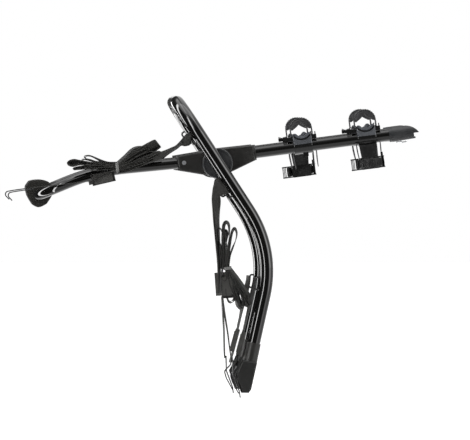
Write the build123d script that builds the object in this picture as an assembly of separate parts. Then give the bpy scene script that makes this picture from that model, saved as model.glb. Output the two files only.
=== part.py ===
"""Strap-on rear bicycle carrier: a bent tube frame stands on two feet against a vehicle.

Lengths are millimetres and angles are degrees.
+X points away from the vehicle, +Z up, and the left side lies at negative Y.
The origin is midway between the contact faces of the two feet.
Hub-centred frames are used for the arms and the pad frame, which fold about the hub axis.
"""
import math
import os

from build123d import *

# Main frame: one tube bent as a closed-top loop with two curved legs
frame_tube_d = 35.0
frame_tube_wall = 1.8
frame_spacing = 480.0
frame_lean = 57.0
top_reach = 191.0
top_bend_r = 95.0
knee_reach = 272.0
knee_bend_r = 290.0
knee_turn = 45.5
shin_length = 311.0

# Foot: a collar round the tube end and a boot that rests on the vehicle
collar_start = 250.0
collar_length = 49.0
collar_wall = 1.9
collar_flare = 0.7
boot_width = 44.0
boot_toe_gap = 12.0
boot_height = 84.0
toe_reach = 27.83
toe_drop = 45.25
boot_face_length = 47.0
boot_face_lean = 17.0
boot_edge_r = 5.0
grip_groove_width = 3.0
grip_groove_depth = 1.5

# Hub: a disc on the frame, two folding sockets and one bolt through them
hub_disc_d = 80.0
hub_disc_edge_r = 3.0
hub_ring_inset = 6.0
hub_ring_width = 2.0
hub_bolt_d = 12.0
hub_bolt_head_d = 24.0
hub_bolt_head_height = 8.0
hub_nut_d = 20.0
hub_nut_height = 8.0
washer_d = 34.0
washer_thickness = 1.6
side_gap = 0.4
running_gap = 0.05
tube_seat_gap = 0.05

# Pad frame: a thinner tube that reaches to the vehicle and carries two foam pads
pad_tube_d = 28.6
pad_tube_wall = 1.5
pad_spacing = 370.0
pad_drop = 5.5
pad_rise = 9.6
pad_corner_reach = 318.5
pad_corner_turn = 17.0
pad_corner_r = 540.0
pad_tip_reach = 163.5
pad_bar_bend_r = 74.0
pad_socket_width = 38.0
pad_socket_reach = 105.0
pad_socket_depth = 38.0
pad_knuckle_r = 36.0
foam_length = 88.0
foam_gap = 8.0
foam_top = 36.0
foam_bottom = 40.0
foam_front = 39.0
foam_corner_r = 9.0

# Arms: two straight tubes with cradles
arm_tube_d = 31.75
arm_tube_wall = 1.6
arm_spacing = 290.0
arm_slope = 7.4
arm_rise = 15.0
arm_tube_start = 46.0
arm_tube_end = 491.0
arm_socket_width = 41.0
arm_socket_reach = 102.0
arm_socket_depth = 41.0
arm_knuckle_r = 37.5
socket_lip_length = 4.0
socket_lip_wall = 4.6
socket_edge_r = 5.0
rivet_d = 6.4
rivet_head_d = 11.0
rivet_head_height = 1.8
rivet_inset = 18.0

# Cap on the end of each arm, with an opener notch and a lock loop
cap_start = 461.0
cap_length = 79.0
cap_collar_length = 7.6
cap_d = 39.0
cap_collar_d = 38.0
cap_crown_start = 44.0
cap_notch_depth = 14.0
cap_notch_top = -2.5
cap_notch_bottom = -11.5
cap_lip_length = 3.5
loop_wire_d = 3.2
loop_width = 17.0
loop_drop = 4.0
loop_reach = 36.0

# Cradles: saddle, cushion and ratchet strap
cradle_first = 232.0
cradle_pitch = 170.0
cradle_length = 50.0
cradle_width = 40.0
saddle_height = 31.0
saddle_arc_depth = 13.0
cushion_hump = 35.5
seat_r = 17.0
seat_height = 43.5
clamp_tab_length = 14.0
clamp_tab_drop = 7.0
strap_width = 24.0
strap_thickness = 3.0
strap_inner_half = 26.5
strap_top = 76.0
strap_pad_apex = 64.5
strap_pad_end = 48.0
anchor_reach = 33.5
anchor_height = 23.0
anchor_pin_d = 5.0
anchor_eye_r = 5.5
buckle_floor = 17.0
comb_reach = 50.0
comb_height = 30.0
comb_tooth = 1.6
comb_pitch = 3.4
comb_step = 1.5
cheek_thickness = 3.0
peg_block_height = 28.5
peg_block_length = 6.5
peg_slot_gap = 0.9
finger_height = 7.0
finger_width = 10.0
strap_tip_height = 18.5
tail_thickness = 2.0
tail_width = 14.0
tail_drop = 76.0
tail_tube_gap = 1.5
peg_tail_x = 33.0
keeper_height = 3.0
keeper_length = 6.0

# Anti-sway arm below one cradle on each arm
sway_top_width = 46.0
sway_bottom_width = 40.0
sway_thickness = 22.0
sway_head_drop = 66.5
sway_head_width = 32.0
sway_head_offset = 5.5
sway_head_base = 9.0
sway_clearance = 0.3

# Webbing straps, cam buckles, hooks and their welded staples
web_width = 25.0
web_thickness = 2.0
staple_wire_d = 5.0
staple_length = 34.0
staple_height = 9.0
staple_bend_r = 5.0
web_gap = 0.3
buckle_length = 62.0
buckle_width = 30.0
buckle_depth = 12.0
buckle_wall = 1.6
buckle_pin_d = 4.0
buckle_pin_gap = 0.15
buckle_pin_inset = 12.0
lever_thickness = 3.0
lever_reach = 50.0
lever_drum_r = 4.0
hook_thickness = 2.6
hook_width = 26.5
hook_bend_r = 8.0

# Where the three straps leave each leg, measured along the tube from the hub
upper_staple = -92.0
side_staple = 76.0
lower_staple = 352.0


def unit(angle):
    """Side-view direction at an angle above +X."""
    return Vector(math.cos(math.radians(angle)), 0, math.sin(math.radians(angle)))


# The foot stands on the origin, and the leg's lengths lead from it up to the hub
thigh_dir = unit(-frame_lean)
shin_dir = unit(-frame_lean - knee_turn)
shin_end = Vector(toe_reach, 0, toe_drop)
knee = shin_end - shin_dir * shin_length
hub = knee - thigh_dir * knee_reach
frame_top = hub - thigh_dir * top_reach
frame_y = frame_spacing / 2
pad_y = pad_spacing / 2
arm_y = arm_spacing / 2
frame_r = frame_tube_d / 2
pad_r = pad_tube_d / 2
arm_r = arm_tube_d / 2
pad_outer_y = pad_y + pad_socket_width / 2
pad_place = Pos(hub.X, 0, hub.Z) * Rot(0, -pad_drop, 0)
arm_place = Pos(hub.X, 0, hub.Z) * Rot(0, -arm_slope, 0) * Pos(0, 0, arm_rise)


def both_sides(name, left_part):
    """Write a left piece and its mirror image."""
    save(name + "_left", left_part)
    save(name + "_right", mirror(left_part, about=Plane.XZ))


def grouped(parts):
    """Several pieces as one group of separate solids."""
    return Compound(children=[solid for part in parts for solid in part.solids()])


def pair(left_part):
    return grouped([left_part, mirror(left_part, about=Plane.XZ)])


def save(name, part):
    export_step(part, os.path.join("parts", name + ".step"))


def plate(outline, y_mid, thickness):
    """Side-view outline, extruded sideways about y_mid."""
    face = Plane.XZ * make_face(outline)
    return Pos(0, y_mid, 0) * extrude(face, thickness / 2, both=True)


def polygon_plate(points, y_mid, thickness):
    return plate(Polyline(*points, close=True), y_mid, thickness)


def bent_path(points, radii):
    """Straight runs joined by tangent arcs."""
    if not radii:
        return Line(points[0], points[1])
    return FilletPolyline(*points, radius=radii)


def strip(points, radii, y_mid, width, thickness):
    """Flat strip seen edge-on from the side, along side-view points."""
    path = bent_path([(x, y_mid, z) for x, z in points], radii)
    section = Plane(path @ 0, x_dir=(0, 1, 0), z_dir=path % 0) * Rectangle(width, thickness)
    return sweep(section, path=path)


def rod(points, radii, diameter):
    path = bent_path(points, radii)
    section = Plane(path @ 0, z_dir=path % 0) * Circle(diameter / 2)
    return sweep(section, path=path)


def bent_tube(points, radii, diameter, wall):
    path = bent_path(points, radii)
    ring = Circle(diameter / 2) - Circle(diameter / 2 - wall)
    return sweep(Plane(path @ 0, z_dir=path % 0) * ring, path=path)


def cross_cylinder(x, z, y_from, y_to, radius):
    """Cylinder along Y."""
    middle = (y_from + y_to) / 2
    return Pos(x, middle, z) * Rot(90, 0, 0) * Cylinder(radius, abs(y_to - y_from))


def along_cylinder(x_from, x_to, radius):
    """Cylinder along X."""
    return Pos((x_from + x_to) / 2, 0, 0) * Rot(0, 90, 0) * Cylinder(radius, x_to - x_from)


def tangent_point(radius, point, turn):
    """Where a line from point touches a circle about the origin, on one side."""
    distance = math.hypot(*point)
    angle = math.atan2(point[1], point[0]) + turn * math.acos(radius / distance)
    return radius * math.cos(angle), radius * math.sin(angle)


def lobe(radius, reach, low, high):
    """Outline of a knuckle circle flowing into a flat end at reach."""
    upper = tangent_point(radius, (reach, high), 1)
    lower = tangent_point(radius, (reach, low), -1)
    edges = [Line(lower, (reach, low)), Line((reach, low), (reach, high)), Line((reach, high), upper)]
    edges.append(ThreePointArc(upper, (-radius, 0), lower))
    return edges


# Main frame
def leg_plane(distance):
    """Plane on the leg's centreline: its z runs down the leg, its x points to the vehicle."""
    tangent_length = knee_bend_r * math.tan(math.radians(knee_turn / 2))
    bend_start = knee_reach - tangent_length
    turned = math.degrees((distance - bend_start) / knee_bend_r)
    if turned <= 0:
        return leg_section(hub + thigh_dir * distance, -frame_lean)
    turned = min(turned, knee_turn)
    centre = hub + thigh_dir * bend_start + unit(-frame_lean - 90) * knee_bend_r
    past_bend = distance - bend_start - knee_bend_r * math.radians(turned)
    spot = centre + unit(90 - frame_lean - turned) * knee_bend_r + unit(-frame_lean - turned) * past_bend
    return leg_section(spot, -frame_lean - turned)


def leg_section(centre, angle):
    return Plane(centre + Vector(0, -frame_y, 0), x_dir=unit(angle - 90), z_dir=unit(angle))


def beside_leg(distance, points):
    """Side-view points given as lengths along the leg and out from its centreline."""
    place = leg_plane(distance)
    spots = [place.from_local_coords(Vector(out, 0, along)) for along, out in points]
    return [(spot.X, spot.Z) for spot in spots]


def leg_staple(distance):
    """Welded wire staple on the vehicle side of the left leg."""
    half = staple_length / 2
    base = frame_r - frame_tube_wall / 2
    lift = frame_r + staple_height
    corners = beside_leg(distance, [(-half, base), (-half, lift), (half, lift), (half, base)])
    points = [(x, -frame_y, z) for x, z in corners]
    return rod(points, [staple_bend_r, staple_bend_r], staple_wire_d)


def main_frame_tube():
    left = Vector(0, -frame_y, 0)
    right = Vector(0, frame_y, 0)
    points = [shin_end + left, knee + left, frame_top + left]
    points += [frame_top + right, knee + right, shin_end + right]
    radii = [knee_bend_r, top_bend_r, top_bend_r, knee_bend_r]
    tube = bent_tube(points, radii, frame_tube_d, frame_tube_wall)
    staples = leg_staple(upper_staple) + leg_staple(side_staple) + leg_staple(lower_staple)
    bolt_hole = cross_cylinder(hub.X, hub.Z, -frame_y, -frame_y + frame_tube_d, hub_bolt_d / 2 + running_gap)
    core = bent_path(points, radii)
    bore = sweep(Plane(core @ 0, z_dir=core % 0) * Circle(frame_r - frame_tube_wall), path=core)
    tube = tube + staples + mirror(staples, about=Plane.XZ) - bore
    return tube - bolt_hole - mirror(bolt_hole, about=Plane.XZ)


# Feet
shin_place = Location(Plane(knee + Vector(0, -frame_y, 0), x_dir=(0, 1, 0), z_dir=shin_dir))


def foot_collar():
    top_r = frame_r + collar_wall
    sleeve = Pos(0, 0, collar_start + collar_length / 2) * Cone(top_r, top_r + collar_flare, collar_length)
    bore = Pos(0, 0, collar_start + collar_length / 2) * Cylinder(frame_r + tube_seat_gap, collar_length)
    return shin_place * (sleeve - bore)


def foot_boot():
    """Moulded boot: its toe slants towards the vehicle and ends in the contact face."""
    sole_r = frame_r + collar_wall + collar_flare
    side = Vector(-shin_dir.Z, 0, shin_dir.X)
    seam = knee + shin_dir * (collar_start + collar_length)
    face_dir = unit(-90 + boot_face_lean)
    face_top = face_dir * (-boot_face_length / 2)
    face_low = face_dir * (boot_face_length / 2)
    floor_z = seam.Z - boot_height
    heel = seam + side * sole_r + shin_dir * (boot_height - 12)
    points = [seam - side * sole_r, seam + side * sole_r, heel]
    points += [Vector(heel.X - 6, 0, floor_z), Vector(face_low.X + 2, 0, floor_z)]
    points += [face_low, face_top, face_top + unit(60) * boot_toe_gap]
    body = polygon_plate([(point.X, point.Z) for point in points], -frame_y, boot_width)
    edges = body.faces().sort_by(Axis.Y)[0].edges() + body.faces().sort_by(Axis.Y)[-1].edges()
    body = fillet(edges, boot_edge_r)
    socket = shin_place * Pos(0, 0, collar_start + collar_length) * Cylinder(
        frame_r + tube_seat_gap, 2 * (shin_length - collar_start - collar_length + 1)
    )
    groove = Box(2 * grip_groove_depth, boot_width, grip_groove_width)
    for step in (-1, 1):
        spot = face_dir * (step * boot_face_length / 4)
        body -= Pos(spot.X, -frame_y, spot.Z) * Rot(0, -boot_face_lean, 0) * groove
    return body - socket


# Hub
def hub_disc():
    outer_y = frame_y - frame_r + 3.5
    disc = cross_cylinder(hub.X, hub.Z, -outer_y, -pad_outer_y - side_gap, hub_disc_d / 2)
    disc = fillet(disc.edges().filter_by(GeomType.CIRCLE).sort_by(Axis.Y)[0], hub_disc_edge_r)
    ring_r = hub_disc_d / 2 - hub_ring_inset
    ring = cross_cylinder(hub.X, hub.Z, -outer_y, -outer_y + 1.2, ring_r)
    ring -= cross_cylinder(hub.X, hub.Z, -outer_y, -outer_y + 1.2, ring_r - hub_ring_width)
    saddle = Location(Plane(hub + Vector(0, -frame_y, 0), z_dir=thigh_dir)) * Cylinder(
        frame_r + tube_seat_gap, 2 * hub_disc_d
    )
    bore = cross_cylinder(hub.X, hub.Z, -frame_y, 0, hub_bolt_d / 2 + running_gap)
    return disc - ring - saddle - bore


def hub_bolt():
    """Bolt from the inboard side through both sockets, the disc and the leg's wall into a nut."""
    inner_y = arm_y - arm_socket_width / 2 - 2 * side_gap - washer_thickness
    inside_r = frame_r - frame_tube_wall
    nut_y = frame_y - math.sqrt(inside_r**2 - (hub_nut_d / 2) ** 2) + side_gap
    shaft = cross_cylinder(hub.X, hub.Z, -nut_y - hub_nut_height, -inner_y, hub_bolt_d / 2)
    head = cross_cylinder(hub.X, hub.Z, -inner_y, -inner_y + hub_bolt_head_height, hub_bolt_head_d / 2)
    head = fillet(head.edges().sort_by(Axis.Y)[-1], 2.0)
    hexagon = Plane(Vector(hub.X, -inner_y + hub_bolt_head_height - 4, hub.Z), z_dir=(0, 1, 0)) * RegularPolygon(5, 6)
    head -= extrude(hexagon, 8)
    nut_face = Plane(Vector(hub.X, -nut_y, hub.Z), z_dir=(0, -1, 0)) * RegularPolygon(hub_nut_d / 2, 6)
    return shaft + head + extrude(nut_face, hub_nut_height)


def friction_washer():
    inner_y = arm_y - arm_socket_width / 2 - side_gap
    ring = cross_cylinder(hub.X, hub.Z, -inner_y, -inner_y + washer_thickness, washer_d / 2)
    return ring - cross_cylinder(hub.X, hub.Z, -frame_y, 0, hub_bolt_d / 2 + running_gap)


def socket(outline, width, tube_axis, tube_d, reach, lip, start):
    """Folding socket in a hub-centred frame: knuckle at the origin, tube seat towards +X."""
    body = extrude(Plane.XZ * make_face(outline), width / 2, both=True)
    rims = body.faces().sort_by(Axis.Y)[0].edges() + body.faces().sort_by(Axis.Y)[-1].edges()
    body = fillet(rims, socket_edge_r)
    lip_ring = Pos(0, 0, tube_axis) * along_cylinder(reach - 1, reach + lip, tube_d / 2 + socket_lip_wall)
    seat = Pos(0, 0, tube_axis) * along_cylinder(start - 2, reach + lip + 1, tube_d / 2 + tube_seat_gap)
    bore = cross_cylinder(0, 0, -width, width, hub_bolt_d / 2 + running_gap)
    rivet_x = reach - rivet_inset
    hole = cross_cylinder(rivet_x, tube_axis, -width, width, rivet_d / 2)
    face_y = width / 2 - rivet_head_height
    for step in (-1, 1):
        hole += cross_cylinder(rivet_x, tube_axis, step * face_y, step * width, rivet_head_d / 2 + side_gap)
    return body + lip_ring - seat - bore - hole


def rivet(width, tube_axis, reach):
    """Rivet through a socket and its tube, with its heads sunk flush."""
    rivet_x = reach - rivet_inset
    face_y = width / 2 - rivet_head_height
    body = cross_cylinder(rivet_x, tube_axis, -face_y, face_y, rivet_d / 2)
    for step in (-1, 1):
        head = cross_cylinder(rivet_x, tube_axis, step * face_y, step * width / 2, rivet_head_d / 2)
        body += head
    return body


def drilled(tube, width, tube_axis, reach):
    return tube - cross_cylinder(reach - rivet_inset, tube_axis, -width, width, rivet_d / 2)


# Pad frame, drawn with its reach along -X
turn_about = Rot(0, 0, 180)


def pad_socket():
    low = pad_rise - pad_socket_depth / 2
    outline = lobe(pad_knuckle_r, pad_socket_reach, low, low + pad_socket_depth)
    body = socket(outline, pad_socket_width, pad_rise, pad_tube_d, pad_socket_reach, 0, pad_knuckle_r + 8)
    return pad_place * Pos(0, -pad_y, 0) * turn_about * body


def pad_rivet():
    return pad_place * Pos(0, -pad_y, 0) * turn_about * rivet(pad_socket_width, pad_rise, pad_socket_reach)


def pad_bar_point():
    """Centre of the crossbar that carries the pads, in the pad frame's own frame."""
    tip = unit(-pad_corner_turn) * pad_tip_reach
    return Vector(-pad_corner_reach - tip.X, 0, pad_rise + tip.Z)


def pad_frame_tube():
    bar = pad_bar_point()
    points = []
    for side in (-1, 1):
        leg = [(-pad_knuckle_r - 8, side * pad_y, pad_rise), (-pad_corner_reach, side * pad_y, pad_rise)]
        leg.append((bar.X, side * pad_y, bar.Z))
        points += leg if side < 0 else leg[::-1]
    radii = [pad_corner_r, pad_bar_bend_r, pad_bar_bend_r, pad_corner_r]
    tube = bent_tube(points, radii, pad_tube_d, pad_tube_wall)
    hole = cross_cylinder(rivet_inset - pad_socket_reach, pad_rise, -pad_spacing, pad_spacing, rivet_d / 2)
    return pad_place * (tube - hole)


def foam_pad():
    """Shield-shaped foam block round the crossbar, upright as the carrier is displayed."""
    centre = (pad_place * Location(pad_bar_point())).position
    corners = [(-0.62 * foam_front, foam_top), (0.75 * foam_front, foam_top - 2), (foam_front, -2)]
    corners += [(0, -foam_bottom), (-foam_front, 10)]
    outline = FilletPolyline(*corners, radius=foam_corner_r, close=True)
    block = plate(outline, 0, foam_length)
    block -= cross_cylinder(0, 0, -foam_length, foam_length, pad_r + tube_seat_gap)
    return Pos(centre.X, -(foam_gap + foam_length) / 2, centre.Z) * block


# Arms, drawn along +X with the arm tube's axis at the origin's height
def arm_socket():
    low = arm_rise - arm_socket_depth / 2
    outline = lobe(arm_knuckle_r, arm_socket_reach, low, low + arm_socket_depth)
    body = socket(
        outline, arm_socket_width, arm_rise, arm_tube_d, arm_socket_reach, socket_lip_length, arm_tube_start
    )
    return arm_place * Pos(0, -arm_y, -arm_rise) * body


def arm_rivet():
    body = rivet(arm_socket_width, arm_rise, arm_socket_reach)
    return arm_place * Pos(0, -arm_y, -arm_rise) * body


def arm_tube():
    tube = along_cylinder(arm_tube_start, arm_tube_end, arm_r)
    tube -= along_cylinder(arm_tube_start, arm_tube_end, arm_r - arm_tube_wall)
    tube = drilled(tube, arm_socket_width, 0, arm_socket_reach)
    return arm_place * Pos(0, -arm_y, 0) * tube


def end_cap():
    """Moulded cap whose nose curves down to a hooked opener notch."""
    half = cap_d / 2
    tip_x = cap_start + cap_length
    notch_x = tip_x - cap_notch_depth
    crown_x = cap_start + cap_crown_start
    body_x = cap_start + cap_collar_length
    lip_x = notch_x + cap_lip_length
    outline = [Line((body_x, -half), (body_x, half)), Line((body_x, half), (crown_x, half))]
    outline.append(ThreePointArc((crown_x, half), (crown_x + 21, 0.64 * half), (tip_x, cap_notch_top)))
    outline.append(
        Polyline(
            (tip_x, cap_notch_top),
            (notch_x, cap_notch_top),
            (notch_x, cap_notch_bottom),
            (lip_x, cap_notch_bottom - 1.5),
            (lip_x, cap_notch_bottom - 5.5),
            (body_x, -half),
        )
    )
    body = plate(outline, 0, cap_d) & along_cylinder(cap_start, tip_x, half + 0.6)
    collar = along_cylinder(cap_start, body_x, cap_collar_d / 2)
    seat = along_cylinder(cap_start - 1, arm_tube_end + 1, arm_r + tube_seat_gap)
    loop_x = cap_start + loop_reach
    for step in (-1, 1):
        body -= Pos(loop_x + step * loop_width / 2, 0, -half) * Cylinder(loop_wire_d / 2 + running_gap, 18)
    return arm_place * Pos(0, -arm_y, 0) * (body + collar - seat)


def lock_loop():
    """Wire loop that hangs out of the cap's underside."""
    loop_x = cap_start + loop_reach
    half = loop_width / 2
    top = -cap_d / 2 + 3.5
    low = -cap_d / 2 - loop_drop
    points = [(loop_x - half, -arm_y, top), (loop_x - half, -arm_y, low)]
    points += [(loop_x + half, -arm_y, low), (loop_x + half, -arm_y, top)]
    return arm_place * rod(points, [3.6, 3.6], loop_wire_d)


# Cradle pieces, centred on the cradle, with the arm tube's axis at the origin
def saddle_arc():
    """Radius and centre height of the hollow that holds the cushion."""
    half = cradle_length / 2 - 1
    radius = (half * half + saddle_arc_depth * saddle_arc_depth) / (2 * saddle_arc_depth)
    return radius, saddle_height - saddle_arc_depth + radius


def seat_block(bottom, width):
    """Upper block of a cradle with its cushion hollow, comb anchor and peg block."""
    half = cradle_length / 2
    radius, centre_z = saddle_arc()
    block = Pos(0, 0, (saddle_height + bottom) / 2) * Box(cradle_length, width, saddle_height - bottom)
    block = fillet(block.edges().filter_by(Axis.Z), 3.0)
    block -= cross_cylinder(0, centre_z, -width, width, radius)
    cheek_y = strap_width / 2 + side_gap + cheek_thickness / 2
    for step in (-1, 1):
        comb_cheek = Pos(-(half + comb_reach) / 2, step * cheek_y, (buckle_floor + comb_height - 4) / 2)
        block += comb_cheek * Box(comb_reach - half + 2, cheek_thickness, comb_height - 4 - buckle_floor)
        peg_end = strap_inner_half + strap_thickness + peg_slot_gap + peg_block_length
        peg_cheek = Pos((half + peg_end) / 2, step * cheek_y, (buckle_floor + peg_block_height) / 2)
        block += peg_cheek * Box(peg_end - half + 2, cheek_thickness, peg_block_height - buckle_floor)
    across = strap_width + 2 * side_gap + cheek_thickness
    for tooth in range(3):
        height = comb_height - tooth * comb_step
        place = Pos(-comb_reach + comb_tooth / 2 + tooth * comb_pitch, 0, (buckle_floor + height) / 2)
        block += place * Box(comb_tooth, across, height - buckle_floor)
    wall_x = peg_end - peg_block_length / 2
    block += Pos(wall_x, 0, (buckle_floor + peg_block_height) / 2) * Box(
        peg_block_length, across, peg_block_height - buckle_floor
    )
    keeper_y = across / 2 + tail_tube_gap / 2 + tail_width / 2
    keeper = Pos(peg_tail_x, keeper_y / 2, buckle_floor + keeper_height / 2)
    block += keeper * Box(keeper_length, keeper_y + tail_width / 2, keeper_height)
    finger = Pos(peg_end - 1.2, 0, peg_block_height + finger_height / 2 - 1)
    block += finger * Box(2.4, finger_width, finger_height + 2)
    block += cross_cylinder(-anchor_reach, anchor_height, -across / 2, across / 2, anchor_pin_d / 2)
    return block


def cradle():
    """Cradle moulding clamped round the arm tube."""
    body = seat_block(0, cradle_width)
    band = along_cylinder(-cradle_length / 2 + 1, cradle_length / 2 - 1, cradle_width / 2)
    band &= Pos(0, 0, -cradle_width / 2) * Box(cradle_length, cradle_width, cradle_width)
    tab_height = cradle_width / 2 - arm_r + clamp_tab_drop
    tab = Pos(5, 0, -cradle_width / 2 - clamp_tab_drop + tab_height / 2) * Box(clamp_tab_length, 16, tab_height)
    return body + band + tab


def cradle_on_tube(gap):
    return cradle() - along_cylinder(-cradle_length, cradle_length, arm_r + gap)


def cushion(width):
    """Rubber cushion: lies in the saddle's hollow and holds a bicycle tube in a round dip."""
    radius, centre_z = saddle_arc()
    edge = cradle_length / 2 - 1
    dip_x = seat_r * math.sin(math.radians(61))
    dip_z = seat_height - seat_r * math.cos(math.radians(61))
    gap = tube_seat_gap
    rim = saddle_height + gap
    outline = [ThreePointArc((-edge, rim), (0, centre_z - radius + gap), (edge, rim))]
    outline.append(Polyline((edge, rim), (edge - 4, cushion_hump), (dip_x + 2, cushion_hump), (dip_x, dip_z)))
    outline.append(ThreePointArc((dip_x, dip_z), (0, seat_height - seat_r), (-dip_x, dip_z)))
    outline.append(Polyline((-dip_x, dip_z), (-dip_x - 2, cushion_hump), (4 - edge, cushion_hump), (-edge, rim)))
    return plate(outline, 0, width)


def cradle_strap():
    """Rubber strap: an arch with a thick crescent pad, hinged at the comb, its tip in the peg block."""
    outer = strap_inner_half + strap_thickness
    spring_z = strap_top - outer
    inner = strap_inner_half
    start_z = anchor_height + 3
    outline = [Line((outer, strap_tip_height), (outer, spring_z))]
    outline.append(ThreePointArc((outer, spring_z), (0, strap_top), (-outer, spring_z)))
    outline.append(
        Polyline(
            (-outer, spring_z),
            (-outer, start_z),
            (-inner, start_z),
            (-inner, strap_pad_end),
            (0, strap_pad_apex),
            (inner, strap_pad_end),
            (inner, strap_tip_height),
            (outer, strap_tip_height),
        )
    )
    body = plate(outline, 0, strap_width)
    eye = cross_cylinder(-anchor_reach, anchor_height, -strap_width / 2, strap_width / 2, anchor_eye_r)
    link = Pos(-(anchor_reach + inner) / 2, 0, start_z + 1) * Box(anchor_reach - inner, strap_width, 3)
    bore = cross_cylinder(-anchor_reach, anchor_height, -strap_width, strap_width, anchor_pin_d / 2 + running_gap)
    return body + eye + link - bore


def strap_tail(reach):
    """Spare strap end that hangs beside the arm tube, on its inboard side."""
    y_mid = arm_r + tail_tube_gap + tail_width / 2
    top = buckle_floor - tube_seat_gap
    return Pos(reach, y_mid, top - tail_drop / 2) * Box(tail_thickness, tail_width, tail_drop)


def cradle_at(index):
    return arm_place * Pos(cradle_first + index * cradle_pitch, -arm_y, 0)


# The anti-sway head is the same seat turned so that its tube axis stands along Z
def sway_head_place(index):
    return cradle_at(index) * Pos(0, sway_head_offset, -sway_head_drop) * Rot(90, 0, 0)


def sway_arm(index):
    top_half = sway_top_width / 2
    low_half = sway_bottom_width / 2
    top = -arm_r
    low = sway_head_width / 2 - sway_head_drop - 1
    points = [(-top_half, top), (top_half, top), (low_half, low), (-low_half, low)]
    web = polygon_plate(points, 0, sway_thickness)
    web -= along_cylinder(-cradle_length, cradle_length, cradle_width / 2 + sway_clearance)
    cut_height = cradle_width / 2 - arm_r + clamp_tab_drop + sway_clearance
    web -= Pos(5, 0, -arm_r - cut_height / 2) * Box(clamp_tab_length + 1, 17, cut_height)
    head = sway_head_place(index) * seat_block(sway_head_base, sway_head_width)
    return cradle_at(index) * web + head


sway_index = {"left": 1, "right": 0}


def sided(part, side):
    return part if side == "left" else mirror(part, about=Plane.XZ)


# Webbing straps; side-view points are measured from the hub axis
def from_hub(points):
    return [(hub.X + x, hub.Z + z) for x, z in points]


def from_foot(points):
    """Side-view points measured from the lower end of the leg's tube."""
    return [(shin_end.X + x, shin_end.Z + z) for x, z in points]


staple_lift = frame_r + staple_height + staple_wire_d / 2 + web_gap
upper_web_y = -(pad_y + pad_r + web_gap + web_width / 2)
web_y = -frame_y
side_run_y = -frame_y - 17.5
lower_web_y = -frame_y + 11.0


def upper_strap():
    """Strap from the upper staple to a tied bundle that lies beside the pad frame's leg."""
    leaf_points = [(-12, staple_lift), (12, staple_lift), (7, 44), (0, 66), (-6, 66), (-11, 42)]
    leaf = polygon_plate(beside_leg(upper_staple, leaf_points), web_y, 4)
    link_points = [Vector(hub.X - 101, web_y, hub.Z + 47), Vector(hub.X - 155, upper_web_y + 6, hub.Z + 24)]
    link = rod(link_points, [], 7)
    right_lobe = [(-257, 1), (-210, 42), (-168, 59), (-152, 48), (-153, 14), (-193, -3), (-257, -22)]
    left_lobe = [(-270, 1), (-297, 0), (-341, 21), (-383, 7), (-393, -3), (-374, -11), (-296, -15), (-270, -16)]
    lobes = polygon_plate(from_hub(right_lobe), upper_web_y, web_width)
    lobes += polygon_plate(from_hub(left_lobe), upper_web_y, web_width)
    neck = [(-271, 1), (-256, 1), (-256, -14), (-271, -14)]
    lobes += polygon_plate(from_hub(neck), upper_web_y, web_width - 6)
    tail = strip(from_hub([(-331.7, -46.3), (-493, -65.5)]), [], upper_web_y, web_width, web_thickness)
    return grouped([leaf + link + lobes, tail])


def side_strap():
    """Strap from the side staple: a hanging web, folded loops, and a thin run down to its hook."""
    web = beside_leg(side_staple, [(-12, staple_lift), (12, staple_lift)])
    web += from_hub([(11, -98), (8, -165), (7, -263), (5, -342), (-1, -342), (-2, -263), (-11, -165), (-13, -92)])
    web += from_hub([(-5, -62)])
    hanging = polygon_plate(web, web_y, 3)
    loops = strip(from_hub([(15, -278), (14, -157), (32, -157), (27, -278)]), [8.5, 8.5], web_y, 18, 2)
    wide_loop = strip(from_hub([(31, -278), (37, -200), (58, -200), (35, -278)]), [6, 6], web_y, 18, 2)
    bundle = [(30, -281), (38, -281), (86, -347), (84, -372), (68, -378), (57, -366), (47, -318), (38, -290)]
    diagonal = polygon_plate(from_hub(bundle), web_y, 18)
    run_points = from_hub([(12, -356)]) + from_foot([(-55.8, 88.8), (-44.8, 7.8)])
    run = strip(run_points, [60], side_run_y, web_width, web_thickness)
    neck = polygon_plate(from_hub([(12, -276), (38, -276), (38, -291.5), (12, -293.3)]), web_y, 18)
    return grouped([hanging, loops + wide_loop + neck + diagonal, run])


def lower_strap():
    """Strap from the lower staple, along the inboard side of the leg to its buckle and hook."""
    lift = staple_lift + web_thickness / 2
    points = beside_leg(lower_staple, [(-6.5, lift), (16.5, lift)]) + from_foot([(6.2, 152.8), (-9.3, 85)])
    upper = strip(points, [60, 60], lower_web_y, web_width, web_thickness)
    lower = strip(from_foot([(-24.4, 29), (-33.2, -2.2)]), [], lower_web_y, web_width, web_thickness)
    return grouped([upper, lower])


# Cam buckle in its own frame: strap along X, lever on the -Y face
def buckle_frame():
    half_w = buckle_width / 2
    base = Pos(0, buckle_depth / 2 - buckle_wall / 2, 0) * Box(buckle_length, buckle_wall, buckle_width)
    pin_x = -buckle_length / 2 + buckle_pin_inset
    for step in (-1, 1):
        cheek_z = step * (half_w - buckle_wall / 2)
        base += Pos(0, 0.5, cheek_z) * Box(buckle_length, buckle_depth - 1, buckle_wall)
    bore = Pos(pin_x, 0, 0) * Cylinder(buckle_pin_d / 2 + buckle_pin_gap, buckle_width + 2)
    slot = Pos(buckle_length / 2 - 9, buckle_depth / 2, 0) * Box(3, buckle_depth, web_width)
    return base - bore - slot


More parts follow.
